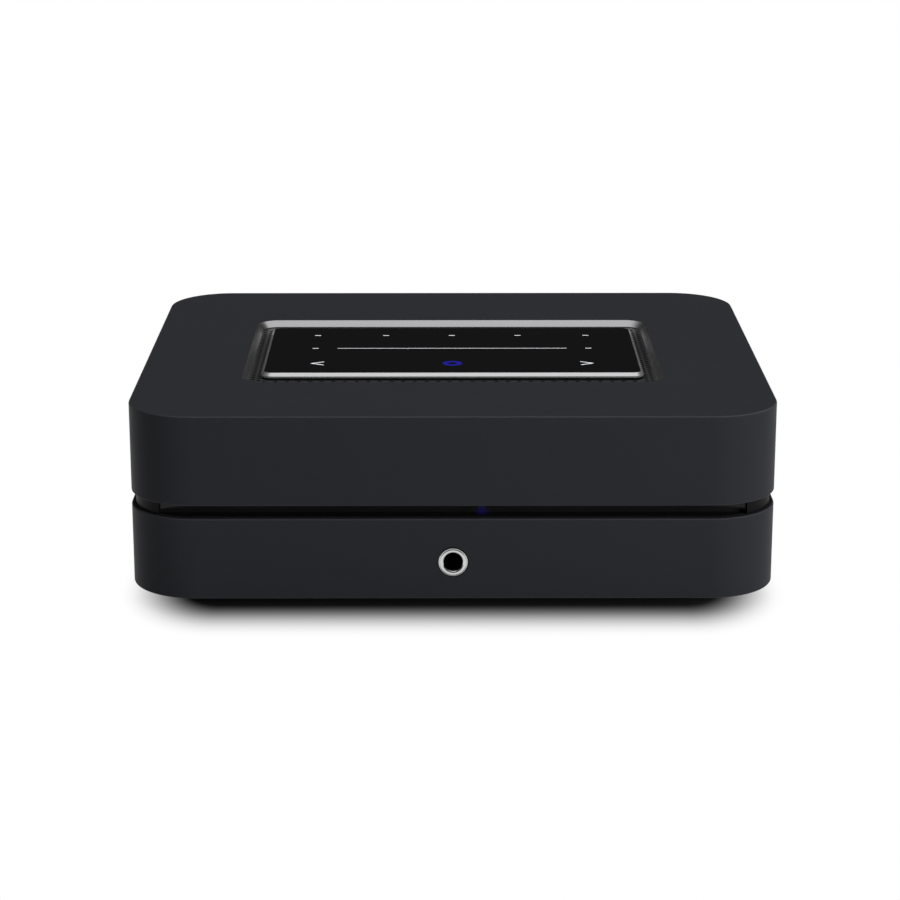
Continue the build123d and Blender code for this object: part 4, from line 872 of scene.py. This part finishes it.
def length_of(tree, first, second):
    """The length of the step with these two parts."""
    squares = [math_node(tree, "MULTIPLY", part, part) for part in (first, second)]
    return math_node(tree, "SQRT", math_node(tree, "ADD", *squares))


def seen_rays(tree, glossy_share=1.0):
    """1 for rays of the camera and through clear pieces, and the given share for mirrored ones."""
    path = tree.nodes.new("ShaderNodeLightPath")
    mirrored = math_node(tree, "MULTIPLY", path.outputs["Is Glossy Ray"], glossy_share)
    return math_node(tree, "MAXIMUM", path.outputs["Is Camera Ray"],
                     math_node(tree, "MAXIMUM", mirrored, path.outputs["Is Transmission Ray"]))


def floor_material(colour):
    """Pale floor: plain where light bounces, white where it is seen, with the lamps' shadow near the case
    made darker by a painted shadow.
    """
    material, tree, _ = new_material("Floor")
    tree.nodes.clear()
    seen = seen_rays(tree)
    parts = tree.nodes.new("ShaderNodeSeparateXYZ")
    tree.links.new(object_place(tree), parts.inputs[0])
    beside = math_node(tree, "MULTIPLY", past(tree, parts.outputs["X"], SHADE_X), SHADE_STRETCH)
    ahead = past(tree, parts.outputs["Y"], SHADE_Y)
    distance = length_of(tree, beside, ahead)
    plain = tree.nodes.new("ShaderNodeBsdfDiffuse")
    # Where it is seen, the floor near the case is painted dark: a painted shadow laid over the lamps' own.
    fading = smooth_step(tree, distance, OWN_COLOUR_FROM, OWN_COLOUR_TO)
    under = mixed(tree, fading, SHADE_COLOUR, colour)
    tree.links.new(mixed(tree, seen, colour, under), plain.inputs["Color"])
    glow = tree.nodes.new("ShaderNodeEmission")
    away = smooth_step(tree, distance, WHITE_FROM, WHITE_TO)
    blend = tree.nodes.new("ShaderNodeMixShader")
    tree.links.new(math_node(tree, "MULTIPLY", away, seen), blend.inputs["Fac"])
    tree.links.new(plain.outputs[0], blend.inputs[1])
    tree.links.new(glow.outputs[0], blend.inputs[2])
    # The floor is clear from below, so that the underside can be looked at.
    sides = tree.nodes.new("ShaderNodeMixShader")
    tree.links.new(tree.nodes.new("ShaderNodeNewGeometry").outputs["Backfacing"], sides.inputs["Fac"])
    tree.links.new(blend.outputs[0], sides.inputs[1])
    tree.links.new(tree.nodes.new("ShaderNodeBsdfTransparent").outputs[0], sides.inputs[2])
    end = tree.nodes.new("ShaderNodeOutputMaterial")
    tree.links.new(sides.outputs[0], end.inputs["Surface"])
    return material


def soft_light(name, place, aim, size, power, mirrored=True):
    """A soft rectangular lamp; one that isn't mirrored leaves no image of itself in glass and metal."""
    light = bpy.data.lights.new(name, "AREA")
    light.shape = "RECTANGLE"
    light.size, light.size_y = size
    light.energy = power
    lamp = bpy.data.objects.new(name, light)
    bpy.context.scene.collection.objects.link(lamp)
    lamp.location = place
    lamp.visible_glossy = mirrored
    lamp.rotation_euler = (Vector(aim) - Vector(place)).to_track_quat("-Z", "Y").to_euler()


def studio_world():
    """Dim at the horizon and brighter overhead where it lights, and white where the camera sees it."""
    world = bpy.data.worlds.new("Studio")
    bpy.context.scene.world = world
    world.use_nodes = True
    tree = world.node_tree
    height = tree.nodes.new("ShaderNodeSeparateXYZ")
    tree.links.new(tree.nodes.new("ShaderNodeTexCoord").outputs["Generated"], height.inputs[0])
    ramp = tree.nodes.new("ShaderNodeValToRGB")
    for stop, position, colour in zip(ramp.color_ramp.elements, (DIM_HEIGHT, BRIGHT_HEIGHT),
                                      (DIM_COLOUR, BRIGHT_COLOUR)):
        stop.position, stop.color = position, colour
    tree.links.new(height.outputs["Z"], ramp.inputs["Fac"])
    strip = math_node(tree, "SUBTRACT", 1.0, smooth_step(tree, height.outputs["Z"], 0.0, MIRRORED_HEIGHT))
    tree.links.new(mixed(tree, seen_rays(tree, strip), ramp.outputs["Color"], (1.0, 1.0, 1.0)),
                   tree.nodes["Background"].inputs["Color"])


class STREAMER_OT_stage(bpy.types.Operator):
    """Make the floor, the soft lights, the world and the camera of the photograph"""
    bl_idname = "streamer.stage"
    bl_label = "Stage"

    def execute(self, context):
        settings = context.scene.streamer_stage
        mesh = bpy.data.meshes.new("floor")
        shape = bmesh.new()
        bmesh.ops.create_circle(shape, cap_ends=True, segments=FLOOR_SIDES, radius=FLOOR_RADIUS)
        shape.to_mesh(mesh)
        shape.free()
        mesh.materials.append(floor_material(tuple(settings.floor)))
        floor = bpy.data.objects.new("floor", mesh)
        context.scene.collection.objects.link(floor)
        soft_light("overhead", *OVERHEAD_LAMP, settings.overhead)
        soft_light("behind", *BEHIND_LAMP, settings.behind, mirrored=False)
        soft_light("right_side", *SIDE_LAMP, settings.side, mirrored=False)
        studio_world()
        view = bpy.data.cameras.new("photo_camera")
        view.sensor_width = CAMERA_SENSOR
        view.lens = CAMERA_LENS
        view.clip_start, view.clip_end = 0.05, 200.0
        camera = bpy.data.objects.new("photo_camera", view)
        context.scene.collection.objects.link(camera)
        camera.location = CAMERA_PLACE
        camera.rotation_euler = Vector(CAMERA_FORWARD).to_track_quat("-Z", "Y").to_euler()
        context.scene.camera = camera
        context.scene.view_settings.view_transform = "Standard"
        return {"FINISHED"}


class STREAMER_PT_panel(bpy.types.Panel):
    """The streamer's sizes, colours and steps"""
    bl_label = "Network Music Streamer"
    bl_idname = "STREAMER_PT_panel"
    bl_space_type = "VIEW_3D"
    bl_region_type = "UI"
    bl_category = "Streamer"

    def draw(self, context):
        for group in (context.scene.streamer_colours, context.scene.streamer_grille,
                      context.scene.streamer_stage):
            box = self.layout.box()
            for name in group.bl_rna.properties.keys():
                if name not in ("rna_type", "name"):
                    box.prop(group, name)
        for step in STEPS:
            self.layout.operator(step.bl_idname)


SETTINGS = {"streamer_colours": StreamerColours, "streamer_grille": StreamerGrille,
            "streamer_stage": StreamerStage}
STEPS = (STREAMER_OT_case, STREAMER_OT_front, STREAMER_OT_panel, STREAMER_OT_grille, STREAMER_OT_rear,
         STREAMER_OT_posts, STREAMER_OT_inside, STREAMER_OT_stage)


def register():
    """Registers the classes and puts the settings on the scene."""
    for kind in (*SETTINGS.values(), *STEPS, STREAMER_PT_panel):
        bpy.utils.register_class(kind)
    for name, kind in SETTINGS.items():
        setattr(bpy.types.Scene, name, bpy.props.PointerProperty(type=kind))


def unregister():
    """Takes the settings and the classes away again."""
    for name in SETTINGS:
        delattr(bpy.types.Scene, name)
    for kind in reversed((*SETTINGS.values(), *STEPS, STREAMER_PT_panel)):
        bpy.utils.unregister_class(kind)


def main():
    """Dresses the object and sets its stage."""
    register()
    bpy.ops.streamer.case()
    bpy.ops.streamer.front()
    bpy.ops.streamer.touch_panel()
    bpy.ops.streamer.grille()
    bpy.ops.streamer.rear()
    bpy.ops.streamer.posts()
    bpy.ops.streamer.inside()
    bpy.ops.streamer.stage()


if __name__ == "__main__":
    main()
